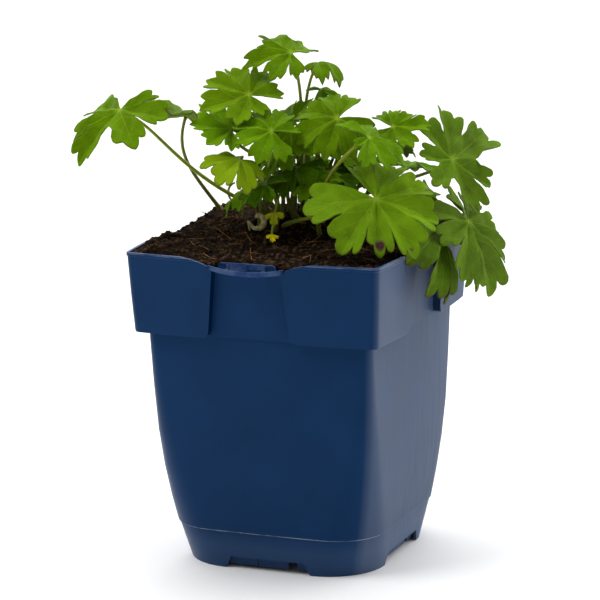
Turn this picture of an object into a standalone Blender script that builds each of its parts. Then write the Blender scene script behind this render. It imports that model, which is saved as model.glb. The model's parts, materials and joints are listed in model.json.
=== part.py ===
"""Potted cranesbill: a square nursery pot, its compost, and one solid for each leaf and its stalk.

Metres, +Z up. The origin is the centre of the pot's foot, and the pot's front side faces -Y.
"""
import math
from dataclasses import dataclass

import bpy
from mathutils import Matrix, Vector

NAME = "potted_cranesbill"
MM = 0.001
FIT = 0.3

# Pot, millimetres. Body stations: height, half side, corner radius, outward bow of each side.
POT_H = 135.0
WALL = 1.2
BODY = (
    (0.0, 43.0, 24.0, 0.0),
    (16.6, 45.8, 20.3, 0.4),
    (16.9, 46.2, 20.2, 0.4),
    (28.0, 47.4, 17.2, 0.6),
    (42.0, 48.6, 14.1, 0.9),
    (58.0, 49.3, 10.6, 1.2),
    (78.0, 49.5, 7.0, 1.6),
    (103.5, 49.7, 3.8, 2.0),
)
COLLAR_Z = 101.2
COLLAR = (
    (COLLAR_Z, 53.7, 3.4, 1.8),
    (COLLAR_Z + 0.5, 53.9, 3.4, 1.8),
    (118.0, 54.8, 3.1, 2.2),
    (133.3, 55.5, 2.9, 2.6),
    (133.7, 55.8, 2.9, 2.6),
    (134.7, 55.8, 2.9, 2.6),
    (POT_H, 55.6, 2.7, 2.6),
)
FLOOR_Z = 10.0
SKIRT_IN = 4.6
SKIRT_Z = 2.4
HUB_R = 7.0
DRAIN_R = 4.5
DRAIN_MID = 27.0
DRAIN_CORNER = 25.0

# Recess in the middle of each side, and the label pocket at its top.
RECESS_TOP = 14.6
RECESS_BOTTOM = 18.5
RECESS_ROUND = 3.4
RECESS_Y_TOP = 54.2
RECESS_Y_BOTTOM = 52.2
TAB_X = 12.8
TAB_LOW = 130.6
TAB_ROUND = 2.2
LIP_X = 17.0
LIP_Z = 129.9
LIP_RISE = 2.6
LIP_H = 1.6
LIP_Y = 57.8
LIP_BULGE = 1.6
RIBS_X = (-8.1, 0.0, 8.1)

# Foot notch in the middle of each side, and the slit in the skirt behind it.
NOTCH_TOP = 16.5
NOTCH_BOTTOM = 19.0
NOTCH_H = 5.3
SLIT_X = (7.6, 11.6)

# Compost, millimetres.
SOIL_Z = 134.0
SOIL_TILT = 0.014
MOUND = (-6.0, 13.0)
MOUND_H = 7.0
MOUND_R = 17.0
HOLE_DEPTH = 8.0

# Leaf blades and stalks, millimetres.
BLADE_T = 0.7
STALK_TAPER = 0.62
STALK_STEPS = 6

# One lobe's edge, from its left cut to its right: share of the half lobe angle, share of its length.
LOBE_EDGE = (
    (-0.92, 0.78), (-0.66, 0.95), (-0.42, 0.88), (0.0, 1.02), (0.42, 0.88), (0.66, 0.95), (0.92, 0.78),
)
CUT_AT = 0.40
WIDEST = 27.0
FOLD = 0.10


@dataclass(frozen=True)
class Leaf:
    """One leaf: where its blade meets its stalk, how it is turned, its lobes and its root.

    heading, pitch and roll turn the blade, in degrees; bend is how far its lobes curl down, in
    radians; each lobe is its angle in the blade and its length; sway pushes the stalk aside.
    """

    heart: tuple
    heading: float
    pitch: float
    roll: float
    bend: float
    lobes: tuple
    root: tuple
    sway: tuple = (0.0, 0.0, 0.0)
    stalk: float = 0.95


def regular(count, step, length):
    """Lobes at even angles, the outer ones shorter."""
    middle = (count - 1) / 2
    return tuple(((k - middle) * step, length * (1 - 0.22 * abs(k - middle) / middle)) for k in range(count))


LEAVES = {
    "leaf_01": Leaf((-67, -32, 190), 242, -30, -1, 0.6,
                    ((-97, 25), (-38, 25), (-8, 29), (57, 25), (103, 24), (155, 17)),
                    (-19, 16), (-40, -12, -17)),
    "leaf_02": Leaf((-49, -6, 184), 290, 34, -24, 0.9,
                    ((-110, 16), (-50, 18), (0, 25), (45, 14), (110, 16)), (-47, 28), (-13, -4, -5)),
    "leaf_03": Leaf((-8, 12, 210), 202, 17, -22, 0.65,
                    ((-120, 17), (-53, 21), (-10, 15), (32, 22), (72, 20), (110, 15)),
                    (-6, 17), (-3, 4, -2)),
    "leaf_04": Leaf((1, 19, 205), 357, 8, -13, 1.6,
                    ((-95, 10), (-55, 17), (-13, 18), (48, 11), (112, 12)), (-1, 16), (-1, -3, -4)),
    "leaf_05": Leaf((-18, -10, 195), 185, 17, -28, 0.3,
                    ((-142, 15), (-88, 20), (-48, 21), (-8, 21), (46, 22), (97, 18), (140, 13)),
                    (-14, 10), (-3, 0, 1)),
    "leaf_06": Leaf((-24, -16, 181), 162, 31, -11, 0.3,
                    ((-141, 15), (-92, 16), (-53, 18), (-15, 20), (42, 17), (95, 15), (140, 12)),
                    (-12, 8), (4, 4, 10)),
    "leaf_07": Leaf((-4, -20, 182), 188, 20, -33, 0.6,
                    ((-135, 13), (-90, 17), (-46, 17), (-1, 19), (42, 16), (93, 17), (136, 16)),
                    (-11, -2), (-16, 7, -1)),
    "leaf_08": Leaf((-17, -24, 170), 266, 3, -20, 1,
                    ((-141, 15), (-94, 16), (-50, 17), (4, 19), (51, 19), (90, 14), (139, 15)),
                    (-17, -5), (1, 8, 8)),
    "leaf_09": Leaf((-8, -18, 159), 162, -9, -23, 0.7,
                    ((-141, 9), (-94, 9), (-47, 12), (2, 16), (49, 13), (96, 13), (132, 12)),
                    (-9, -6), (0, 5, -4)),
    "leaf_10": Leaf((19, -4, 186), 216, -15, -38, 0.75,
                    ((-137, 17), (-98, 19), (-52, 21), (2, 21), (50, 20), (90, 20), (137, 18)),
                    (3, 9), (-5, 14, -13)),
    "leaf_11": Leaf((-3, 0, 180), 198, -40, -33, 0.45,
                    ((-138, 17), (-102, 19), (-47, 14), (0, 12), (47, 13), (94, 18), (141, 17)),
                    (-6, 7), (-4, -3, -7)),
    "leaf_12": Leaf((1, 22, 193), 57, 2, 17, 0.75,
                    ((-115, 8), (-58, 8), (5, 9), (58, 8), (112, 7)), (4, 22)),
    "leaf_13": Leaf((10, 30, 175), 62, -2, 8, 0.6, regular(7, 47, 15), (4, 16), (-1, 0, 2)),
    "leaf_14": Leaf((38, 10, 181), 10, 5, 32, 0.4,
                    ((-141, 13), (-97, 14), (-50, 15), (8, 16), (54, 12), (91, 12), (128, 14)),
                    (14, 20), (13, -8, -10)),
    "leaf_15": Leaf((38, -18, 181), 37, -21, 22, 0.65,
                    ((-130, 10), (-98, 18), (-60, 17), (-3, 20), (47, 18), (94, 16), (141, 15)),
                    (10, -4), (-3, -1, -6)),
    "leaf_16": Leaf((33, 20, 173), 71, -16, 2, 0.8, regular(5, 55, 14), (11, 22), (6, -1, 1)),
    "leaf_17": Leaf((61, 18, 167), 71, 14, 50, 0.3,
                    ((-163, 17), (-101, 24), (-62, 20), (6, 30), (46, 27), (84, 23), (141, 15)),
                    (13, 16), (3, 6, -4)),
    "leaf_18": Leaf((43, -24, 157), 1, -21, 31, 0.55,
                    ((-148, 30), (-90, 29), (-57, 26), (-26, 30), (18, 28), (62, 27), (103, 27), (137, 23)),
                    (-7, -2), (10, -11, -17)),
    "leaf_19": Leaf((71, 10, 143), 356, -46, 8, 0.65,
                    ((-135, 18), (-84, 21), (-48, 29), (-15, 32), (28, 24), (66, 19), (122, 18)),
                    (6, 9), (13, -3, -6)),
    "leaf_20": Leaf((47, 20, 149), 83, 13, 45, 0.45,
                    ((-116, 11), (-58, 13), (8, 15), (55, 12), (110, 9)), (12, 26), (-3, 0, 3)),
    "leaf_21": Leaf((59, 4, 140), 290, 1, -60, 0.9,
                    ((-100, 23), (-48, 27), (2, 34), (33, 36), (70, 32), (105, 25)), (11, 7), (6, -5, 2)),
    "leaf_22": Leaf((61, 37, 139), 293, 4, -63, 0.8,
                    ((-48, 18), (10, 28), (42, 36), (66, 33), (100, 24)), (18, 22), (-3, 2, -2)),
    "leaf_23": Leaf((-20, 41, 149), 130, -6, 0, 0.6, regular(5, 60, 17), (-14, 28)),
    "leaf_24": Leaf((-14, 35, 162), 110, -5, 5, 0.6, regular(7, 47, 17), (-8, 26), (0, 3, -2)),
    "leaf_25": Leaf((33, 44, 160), 40, -10, -5, 0.6, regular(5, 60, 16), (5, 30)),
    "leaf_26": Leaf((0, -2, 164), 259, -21, 9, 0.7, regular(5, 55, 17), (1, 1), (-16, -3, 7)),
    "leaf_27": Leaf((11, 6, 161), 295, -13, -5, 0.7, regular(5, 55, 16), (-3, 11), (-1, -7, 4)),
    "leaf_28": Leaf((16, 30, 160), 319, -25, -1, 0.7, regular(5, 55, 14), (6, 24), (-7, 4, -2)),
    "leaf_29": Leaf((-22, 9, 153), 201, -21, 10, 0.7, regular(5, 55, 14), (-21, 7), (-8, 6, 0)),
    "shoot_01": Leaf((-5, -16, 147), 285, -48, 10, 0.3, regular(3, 62, 6), (-9, -10), stalk=0.6),
    "shoot_02": Leaf((-4, -22, 139), 300, -40, -8, 0.3, regular(3, 55, 4), (-6, -17), stalk=0.6),
}


def clear_scene():
    """Remove every object, so the script can run in an open file."""
    for obj in list(bpy.data.objects):
        bpy.data.objects.remove(obj, do_unlink=True)


def collection(name, hidden=False):
    """Make a collection in the scene; a hidden one holds cutters."""
    made = bpy.data.collections.new(name)
    bpy.context.scene.collection.children.link(made)
    made.hide_render = hidden
    return made


def material(name, colour, roughness):
    """Make a plain Principled material from an sRGB hex colour."""
    mat = bpy.data.materials.new(name)
    mat.use_nodes = True
    shader = mat.node_tree.nodes["Principled BSDF"]
    channels = [int(colour[i:i + 2], 16) / 255 for i in (1, 3, 5)]
    linear = [c / 12.92 if c <= 0.04045 else ((c + 0.055) / 1.055) ** 2.4 for c in channels]
    shader.inputs["Base Color"].default_value = (*linear, 1.0)
    shader.inputs["Roughness"].default_value = roughness
    shader.inputs["Metallic"].default_value = 0.0
    return mat


def mesh_object(name, points, faces, where):
    """Make an object from millimetre points and faces."""
    mesh = bpy.data.meshes.new(name)
    mesh.from_pydata([Vector(p) * MM for p in points], [], faces)
    mesh.validate()
    obj = bpy.data.objects.new(name, mesh)
    where.objects.link(obj)
    return obj


def loft(name, rings, where):
    """Close a stack of rings of equal count into one solid; rings run counter-clockwise, upward."""
    count = len(rings[0])
    points = [p for ring in rings for p in ring]
    faces = [tuple(reversed(range(count)))]
    for level in range(len(rings) - 1):
        low = level * count
        for i in range(count):
            j = (i + 1) % count
            faces.append((low + i, low + j, low + count + j, low + count + i))
    last = (len(rings) - 1) * count
    faces.append(tuple(range(last, last + count)))
    return mesh_object(name, points, faces, where)


def box(name, low, high, where):
    """Make a box between two corners."""
    ring = ((low[0], low[1]), (high[0], low[1]), (high[0], high[1]), (low[0], high[1]))
    return loft(name, [[(x, y, z) for x, y in ring] for z in (low[2], high[2])], where)


def prism_y(name, outline, depth_at, far, where):
    """Extrude an x-z outline along Y, from a face at depth_at(z) to a flat face at far."""
    near = [(x, depth_at(z), z) for x, z in outline]
    back = [(x, far, z) for x, z in outline]
    return loft(name, [near, back], where)


def cylinder(name, centre, radius, low, high, sides, where):
    """Make an upright cylinder."""
    angles = [2 * math.pi * i / sides for i in range(sides)]
    ring = [(centre[0] + radius * math.cos(a), centre[1] + radius * math.sin(a)) for a in angles]
    return loft(name, [[(x, y, z) for x, y in ring] for z in (low, high)], where)


def combine(target, others, operation):
    """Apply one Boolean of a collection of solids to the target, then remove those solids."""
    group = collection("tools", hidden=True)
    for obj in others:
        for owner in list(obj.users_collection):
            owner.objects.unlink(obj)
        group.objects.link(obj)
    modifier = target.modifiers.new("combine", "BOOLEAN")
    modifier.operation = operation
    modifier.operand_type = "COLLECTION"
    modifier.collection = group
    modifier.solver = "EXACT"
    apply_modifiers(target)
    for obj in list(group.objects):
        bpy.data.objects.remove(obj, do_unlink=True)
    bpy.data.collections.remove(group)
    return target


def apply_modifiers(obj):
    """Turn the object's modifiers into plain mesh."""
    graph = bpy.context.evaluated_depsgraph_get()
    mesh = bpy.data.meshes.new_from_object(obj.evaluated_get(graph))
    obj.modifiers.clear()
    obj.data = mesh


def finish(obj, name, mat, where):
    """Name the solid, give it its material and smooth shading, and file it with the parts."""
    obj.name = name
    obj.data.name = name
    obj.data.materials.clear()
    obj.data.materials.append(mat)
    for poly in obj.data.polygons:
        poly.use_smooth = True
    obj.data.set_sharp_from_angle(angle=math.radians(35))
    for owner in list(obj.users_collection):
        owner.objects.unlink(obj)
    where.objects.link(obj)
    return obj


def square_ring(z, half, radius, bow, inset=0.0):
    """Points of a rounded square with sides that bow outward."""
    half -= inset
    radius = max(radius - inset, 0.8)
    flat = half - radius
    side = [-0.67, -0.33, 0.0, 0.33, 0.67]
    edge = [(t * flat, -half - bow * (1 - t * t)) for t in [-1.0] + side + [1.0]]
    for k in range(1, 5):
        a = math.radians(-90 + 18 * k)
        edge.append((flat + radius * math.cos(a), -flat + radius * math.sin(a)))
    ring = []
    for turn in range(4):
        c, s = round(math.cos(turn * math.pi / 2)), round(math.sin(turn * math.pi / 2))
        ring += [(c * x - s * y, s * x + c * y, z) for x, y in edge]
    return ring


def station(rows, z):
    """Interpolate a row of a station table at a height; the end rows run on straight."""
    for low, high in zip(rows, rows[1:]):
        if z <= high[0] or high is rows[-1]:
            t = (z - low[0]) / (high[0] - low[0])
            return (z, *(a + t * (b - a) for a, b in zip(low[1:], high[1:])))


def square_loft(name, rows, low, high, inset, where):
    """Loft a station table between two heights, moved in by an inset."""
    inner = [row for row in rows if low < row[0] < high]
    picked = [station(rows, low)] + inner + [station(rows, high)]
    return loft(name, [square_ring(*row, inset=inset) for row in picked], where)


def turned(make):
    """Make one solid for each of the pot's four sides."""
    made = []
    for turn in range(4):
        obj = make()
        obj.data.transform(Matrix.Rotation(turn * math.pi / 2, 4, "Z"))
        made.append(obj)
    return made


def recess_depth(z, grow=0.0):
    """Y of the recess wall's outer face on the front side."""
    t = (z - COLLAR_Z) / (POT_H - COLLAR_Z)
    return -(RECESS_Y_BOTTOM + t * (RECESS_Y_TOP - RECESS_Y_BOTTOM)) + grow


def recess_cutter(where):
    """Recess of the front side: rounded lower corners, and a rim that dips toward the pocket."""
    corner = []
    for k in range(5):
        a = math.radians(90 * k / 4)
        across, up = 1 - math.sin(a), 1 - math.cos(a)
        corner.append((RECESS_BOTTOM + RECESS_ROUND * across, COLLAR_Z + RECESS_ROUND * up))
    dip = [(RECESS_TOP, 130.0), (15.6, 132.2), (17.6, 133.7), (20.4, 134.6), (24.0, 135.1), (24.0, 139.0)]
    right = [(RECESS_BOTTOM + RECESS_ROUND, COLLAR_Z - 1.0)] + corner + dip
    left = [(-x, z) for x, z in reversed(right)]
    return prism_y("recess", right + left, recess_depth, -70.0, where)


def tab_cutter(side, where):
    """Cut beside the tab at the top of the front recess wall, which leaves its upper corner round."""
    outline = [(TAB_X, TAB_LOW)]
    for k in range(3):
        a = math.radians(90 * k / 2)
        across, up = 1 - math.cos(a), 1 - math.sin(a)
        outline.append((TAB_X - TAB_ROUND * across, POT_H - TAB_ROUND * up))
    outline += [(TAB_X - TAB_ROUND, POT_H + 3.0), (RECESS_TOP + 0.6, POT_H + 3.0), (RECESS_TOP + 0.6, TAB_LOW)]
    if side < 0:
        outline = [(-x, z) for x, z in reversed(outline)]
    return prism_y("tab", outline, lambda z: -LIP_Y, -RECESS_Y_TOP + WALL + 0.6, where)


def recess_block(grow, where):
    """Solid that keeps the cavity off the recess wall of the front side."""
    low, high = COLLAR_Z - 3.0, POT_H + 5.0
    foot = RECESS_BOTTOM + RECESS_ROUND + grow
    right = [(foot, low), (foot, COLLAR_Z + RECESS_ROUND), (RECESS_BOTTOM + grow, COLLAR_Z + 6.0),
             (RECESS_TOP + grow, high)]
    left = [(-x, z) for x, z in reversed(right)]
    return prism_y("block", right + left, lambda z: recess_depth(z, grow), -75.0, where)


def cavity(inset, low, high, where):
    """Inside of the pot, moved in by an inset, up to a height above the rim."""
    body = square_loft("cavity", BODY, low, COLLAR_Z + inset + 1.0, inset, where)
    collar = square_loft("cavity_collar", COLLAR, COLLAR_Z + inset, high, inset, where)
    combine(collar, turned(lambda: recess_block(inset, where)), "DIFFERENCE")
    return combine(body, [collar], "UNION")


def lip(where):
    """Curved lip of the front label pocket, with its ends sunk in the panels."""
    rings = []
    for k in range(9):
        t = -1 + k / 4
        out = -LIP_Y - LIP_BULGE * (1 - t * t)
        low = LIP_Z - LIP_H + LIP_RISE * t * t
        section = [(out, low), (out + WALL, low), (out + WALL, low + LIP_H), (out, low + LIP_H)]
        rings.append([(t * LIP_X, y, z) for y, z in section])
    return loft("lip", rings, where)


def pocket_rib(x, where):
    """Thin rib from the recess wall to the lip."""
    low = LIP_Z - LIP_H + 0.3
    return box("rib", (x - 0.4, -LIP_Y - 0.4, low), (x + 0.4, recess_depth(LIP_Z) + 0.6, LIP_Z - 0.4), where)


def notch_cutter(where):
    """Notch in the front side's foot, through the outer skirt only."""
    slope = (NOTCH_BOTTOM - NOTCH_TOP) / NOTCH_H
    outline = [(NOTCH_BOTTOM + slope, -1.0), (NOTCH_TOP, NOTCH_H), (-NOTCH_TOP, NOTCH_H),
               (-NOTCH_BOTTOM - slope, -1.0)]
    return prism_y("notch", outline, lambda z: -40.6, -60.0, where)


def build_pot(where):
    """Model the moulded pot: shell, collar, pockets, floor, skirt, hub, holes and notches."""
    pot = square_loft("pot", BODY, 0.0, COLLAR_Z + 1.5, 0.0, where)
    combine(pot, [square_loft("collar", COLLAR, COLLAR_Z, POT_H, 0.0, where)], "UNION")
    combine(pot, turned(lambda: recess_cutter(where)), "DIFFERENCE")
    combine(pot, [cavity(WALL, FLOOR_Z + WALL, POT_H + 4.0, where)], "DIFFERENCE")
    beside = turned(lambda: tab_cutter(1, where)) + turned(lambda: tab_cutter(-1, where))
    combine(pot, beside, "DIFFERENCE")
    under = square_loft("under", BODY, -1.0, FLOOR_Z, WALL, where)
    skirt = square_loft("skirt", BODY, SKIRT_Z, FLOOR_Z + 1.0, SKIRT_IN, where)
    combine(skirt, [square_loft("skirt_in", BODY, -2.0, FLOOR_Z + 2.0, SKIRT_IN + WALL, where)], "DIFFERENCE")
    slits = turned(lambda: box("slit", (SLIT_X[0], -60.0, -1.0), (SLIT_X[1], -30.0, FLOOR_Z), where))
    combine(skirt, slits, "DIFFERENCE")
    combine(under, [skirt, cylinder("hub", (0, 0), HUB_R, -2.0, FLOOR_Z + 2.0, 32, where)], "DIFFERENCE")
    drains = [cylinder("drain", spot, DRAIN_R, -5.0, FLOOR_Z + 5.0, 12, where) for spot in drain_spots()]
    combine(pot, [under] + drains + turned(lambda: notch_cutter(where)), "DIFFERENCE")
    joined = turned(lambda: lip(where))
    for x in RIBS_X:
        joined += turned(lambda: pocket_rib(x, where))
    combine(pot, joined, "UNION")
    return finish(pot, "pot", material("blue_plastic", "#17335c", 0.42), where)


def drain_spots():
    """Centres of the floor's drainage holes."""
    spots = []
    for turn in range(4):
        a = turn * math.pi / 2
        spots.append((DRAIN_MID * math.cos(a), DRAIN_MID * math.sin(a)))
        c = a + math.pi / 4
        spots.append((DRAIN_CORNER * math.sqrt(2) * math.cos(c), DRAIN_CORNER * math.sqrt(2) * math.sin(c)))
    return spots


def soil_height(x, y):
    """Height of the compost's top: it rises to the back left, with a low mound and soft lumps."""
    away = ((x - MOUND[0]) ** 2 + (y - MOUND[1]) ** 2) / (2 * MOUND_R ** 2)
    lumps = 0.5 * math.sin(0.21 * x + 1.0) * math.cos(0.19 * y) + 0.3 * math.sin(0.43 * x + 0.37 * y)
    return SOIL_Z + SOIL_TILT * (y - x) + MOUND_H * math.exp(-away) + lumps


def soil_top_cutter(where):
    """Block over the compost whose underside is the compost's top."""
    count, reach = 17, 62.0
    step = 2 * reach / (count - 1)
    spots = [(-reach + i * step, -reach + j * step) for j in range(count) for i in range(count)]
    points = [(x, y, soil_height(x, y)) for x, y in spots]
    edge = [i for i in range(count)]
    edge += [j * count + count - 1 for j in range(1, count)]
    edge += [(count - 1) * count + i for i in range(count - 2, -1, -1)]
    edge += [j * count for j in range(count - 2, 0, -1)]
    lid = len(points)
    points += [(points[i][0], points[i][1], POT_H + 60.0) for i in edge]
    faces = []
    for j in range(count - 1):
        for i in range(count - 1):
            a = j * count + i
            faces.append((a, a + count, a + 1))
            faces.append((a + 1, a + count, a + count + 1))
    for k, a in enumerate(edge):
        m = (k + 1) % len(edge)
        faces.append((a, edge[m], lid + m, lid + k))
    faces.append(tuple(range(lid, lid + len(edge))))
    return mesh_object("soil_top", points, faces, where)


def build_compost(where):
    """Model the compost as the pot's filling, with a plain hole for each stalk."""
    soil = cavity(WALL + FIT, FLOOR_Z + WALL + FIT, POT_H + 10.0, where)
    cutters = [soil_top_cutter(where)]
    for leaf in LEAVES.values():
        low = soil_height(*leaf.root) - HOLE_DEPTH
        cutters.append(cylinder("hole", leaf.root, leaf.stalk + FIT, low, POT_H + 30.0, 6, where))
    combine(soil, cutters, "DIFFERENCE")
    return finish(soil, "compost", material("compost", "#2a1d15", 0.95), where)


def leaf_axes(leaf):
    """Unit axes of a blade: toward its tip, toward its left, and out of its upper face."""
    turn = Matrix.Rotation(math.radians(leaf.heading), 3, "Z")
    turn = turn @ Matrix.Rotation(math.radians(-leaf.pitch), 3, "Y")
    turn = turn @ Matrix.Rotation(math.radians(leaf.roll), 3, "X")
    return turn.col[0], turn.col[1], turn.col[2]


def blade_point(leaf, angle, reach, lift=0.0):
    """World point of a blade at an angle and arc length from its heart."""
    size = max(length for _, length in leaf.lobes)
    b = leaf.bend * reach / size
    out = reach * math.sin(b) / b if b > 1e-6 else reach
    drop = reach * (1 - math.cos(b)) / b if b > 1e-6 else 0.0
    tip, left, top = leaf_axes(leaf)
    a = math.radians(angle)
    flat = tip * (out * math.cos(a)) + left * (out * math.sin(a))
    return Vector(leaf.heart) + flat + top * (lift - drop)


def blade_mesh(leaf):
    """Triangles of a blade's middle surface: wedge lobes with three round teeth each."""
    size = max(length for _, length in leaf.lobes)
    points = [blade_point(leaf, 0.0, 0.0)]
    faces = []

    def add(angle, reach, lift=0.0):
        points.append(blade_point(leaf, angle, reach, lift))
        return len(points) - 1

    angles = [a for a, _ in leaf.lobes]
    lengths = [length for _, length in leaf.lobes]
    halves = [(b - a) / 2 for a, b in zip(angles, angles[1:])]
    left_half = [halves[0]] + halves
    right_half = halves + [halves[-1]]
    cuts = [add(angles[0] - min(halves[0], WIDEST), CUT_AT * lengths[0] * 0.8)]
    for k, half in enumerate(halves):
        cuts.append(add(angles[k] + half, CUT_AT * (lengths[k] + lengths[k + 1]) / 2, 0.02 * size))
    cuts.append(add(angles[-1] + min(halves[-1], WIDEST), CUT_AT * lengths[-1] * 0.8))
    for k, (angle, length) in enumerate(leaf.lobes):
        mid = add(angle, 0.38 * length, -0.02 * size)
        rib = add(angle, 0.70 * length, -0.03 * size)
        edge = []
        for share, reach in LOBE_EDGE:
            half = min(WIDEST, left_half[k] if share < 0 else right_half[k])
            edge.append(add(angle + share * half, reach * length, FOLD * abs(share) * reach * length))
        faces += [(0, cuts[k], mid), (0, mid, cuts[k + 1])]
        faces += [(mid, cuts[k], edge[0]), (mid, edge[0], rib)]
        faces += [(rib, a, b) for a, b in zip(edge, edge[1:])]
        faces += [(mid, rib, edge[-1]), (mid, edge[-1], cuts[k + 1])]
    return points, faces


def stalk_line(leaf):
    """Points of a stalk: straight up out of its hole, then a curve to the blade's heart."""
    tip, left, top = leaf_axes(leaf)
    heart = Vector(leaf.heart)
    ground = Vector((*leaf.root, soil_height(*leaf.root)))
    rise = (heart - ground).length
    first = ground + Vector((0, 0, 0.4 * rise)) + Vector(leaf.sway)
    last = heart - (top * 0.8 + tip * 0.55).normalized() * (0.3 * rise)
    line = [ground - Vector((0, 0, HOLE_DEPTH - FIT)), ground]
    for k in range(1, STALK_STEPS + 1):
        t = k / STALK_STEPS
        s = 1 - t
        line.append(ground * s ** 3 + first * (3 * s * s * t) + last * (3 * s * t * t) + heart * t ** 3)
    return line


def build_leaf(name, leaf, mat, where):
    """Model one leaf: its blade as a thin folded sheet, its stalk as a tapered tube, joined as one."""
    points, faces = blade_mesh(leaf)
    blade = mesh_object(name, points, faces, where)
    shell = blade.modifiers.new("thickness", "SOLIDIFY")
    shell.thickness = BLADE_T * MM
    shell.offset = 0.0
    apply_modifiers(blade)
    line = stalk_line(leaf)
    curve = bpy.data.curves.new("stalk", "CURVE")
    curve.dimensions = "3D"
    curve.bevel_depth = MM
    curve.bevel_resolution = 0
    curve.use_fill_caps = True
    spline = curve.splines.new("POLY")
    spline.points.add(len(line) - 1)
    for k, (spot, place) in enumerate(zip(spline.points, line)):
        spot.co = (*(place * MM), 1.0)
        spot.radius = leaf.stalk * (1 - (1 - STALK_TAPER) * max(0, k - 1) / (len(line) - 2))
    tube = bpy.data.objects.new("stalk", curve)
    where.objects.link(tube)
    graph = bpy.context.evaluated_depsgraph_get()
    mesh = bpy.data.meshes.new_from_object(tube.evaluated_get(graph))
    bpy.data.objects.remove(tube, do_unlink=True)
    stalk = bpy.data.objects.new("stalk", mesh)
    where.objects.link(stalk)
    weld(stalk)
    combine(blade, [stalk], "UNION")
    return finish(blade, name, mat, where)


def weld(obj):
    """Merge the doubled points of a converted curve."""
    modifier = obj.modifiers.new("weld", "WELD")
    modifier.merge_threshold = 0.00001
    apply_modifiers(obj)


def main():
    """Build every part."""
    clear_scene()
    parts = collection(NAME)
    build_pot(parts)
    build_compost(parts)
    green = material("leaf", "#4b8a1c", 0.55)
    for name, leaf in LEAVES.items():
        build_leaf(name, leaf, green, parts)


main()
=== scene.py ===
"""Potted cranesbill: the looks of a young lobed-leaf plant in a square nursery pot.

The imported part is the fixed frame, in metres, +Z up, with the pot's front side facing -Y. Sizes below
are in millimetres. The pot repeats its solid's sizes with finer curves. The leaves follow the same rule as
their solids, with finer lobes, rounder teeth and veins, and the compost keeps its solid's walls.
"""
import json
import logging
import math
import random
from collections.abc import Callable, Sequence
from dataclasses import dataclass, field
from enum import Enum

import bmesh
import bpy
from mathutils import Matrix, Vector, noise
from mathutils.bvhtree import BVHTree

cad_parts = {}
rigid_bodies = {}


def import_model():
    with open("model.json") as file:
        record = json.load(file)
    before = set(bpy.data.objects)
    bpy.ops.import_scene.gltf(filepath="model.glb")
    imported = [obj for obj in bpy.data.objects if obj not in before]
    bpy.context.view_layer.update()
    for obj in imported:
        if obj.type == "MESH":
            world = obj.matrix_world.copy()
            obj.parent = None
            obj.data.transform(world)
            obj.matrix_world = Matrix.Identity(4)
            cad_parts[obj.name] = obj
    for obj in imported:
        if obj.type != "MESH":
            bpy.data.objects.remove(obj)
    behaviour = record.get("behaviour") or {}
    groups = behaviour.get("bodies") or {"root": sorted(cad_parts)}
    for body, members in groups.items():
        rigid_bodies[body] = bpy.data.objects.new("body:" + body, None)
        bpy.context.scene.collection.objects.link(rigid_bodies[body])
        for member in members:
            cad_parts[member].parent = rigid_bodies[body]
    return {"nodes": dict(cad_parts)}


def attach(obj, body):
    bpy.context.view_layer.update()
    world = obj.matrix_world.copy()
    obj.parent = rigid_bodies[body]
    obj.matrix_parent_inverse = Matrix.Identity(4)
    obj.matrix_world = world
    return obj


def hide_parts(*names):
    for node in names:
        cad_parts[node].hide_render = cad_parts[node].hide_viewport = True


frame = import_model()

log = logging.getLogger("cranesbill")
MM = 0.001
ROOT = "root"
# The node types used most.
MATH, MIX = "ShaderNodeMath", "ShaderNodeMix"
RANGE, NOISE = "ShaderNodeMapRange", "ShaderNodeTexNoise"


# Small helpers

def linear(colour: str) -> tuple[float, float, float, float]:
    """Turn an sRGB hex colour into linear RGBA.

    Args:
        colour: the colour as #rrggbb.

    Returns:
        Red, green, blue and an alpha of one.
    """
    parts = [int(colour[i:i + 2], 16) / 255 for i in (1, 3, 5)]
    flat = [c / 12.92 if c <= 0.04045 else ((c + 0.055) / 1.055) ** 2.4 for c in parts]
    return (*flat, 1.0)


def outlet(source: bpy.types.Node | bpy.types.NodeSocket) -> bpy.types.NodeSocket:
    """First enabled output of a node; a socket stays as it is."""
    if isinstance(source, bpy.types.NodeSocket):
        return source
    return next(s for s in source.outputs if s.enabled)


def add_node(tree: bpy.types.NodeTree, kind: str, inputs: dict | None = None,
             **settings: str | bool) -> bpy.types.Node:
    """Add one node with its settings, values and links.

    Args:
        tree: the tree that takes the node.
        kind: the node's type name.
        inputs: value, source node or source socket for each input, by name or index.
        settings: properties of the node.

    Returns:
        The new node.
    """
    node = tree.nodes.new(kind)
    for key, value in settings.items():
        setattr(node, key, value)
    for key, value in (inputs or {}).items():
        if isinstance(value, (bpy.types.Node, bpy.types.NodeSocket)):
            tree.links.new(outlet(value), node.inputs[key])
        else:
            node.inputs[key].default_value = value
    return node


def wire(shader: bpy.types.Node, **sources: bpy.types.Node) -> None:
    """Link nodes to a shader's inputs, with underscores for spaces."""
    for key, source in sources.items():
        shader.id_data.links.new(outlet(source), shader.inputs[key.replace("_", " ")])


def new_material(name: str, **plain: float) -> tuple[bpy.types.Material, bpy.types.Node]:
    """Make a material with one Principled shader and its constant values.

    Args:
        name: the material's name.
        plain: constant input values, with underscores for spaces.

    Returns:
        The material and its shader node.
    """
    made = bpy.data.materials.new(name)
    made.use_nodes = True
    shader = made.node_tree.nodes["Principled BSDF"]
    for key, value in plain.items():
        shader.inputs[key.replace("_", " ")].default_value = value
    return made, shader


def smooth_step(t: float) -> float:
    """Ease a number from 0 to 1."""
    t = min(1.0, max(0.0, t))
    return t * t * (3 - 2 * t)


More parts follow.
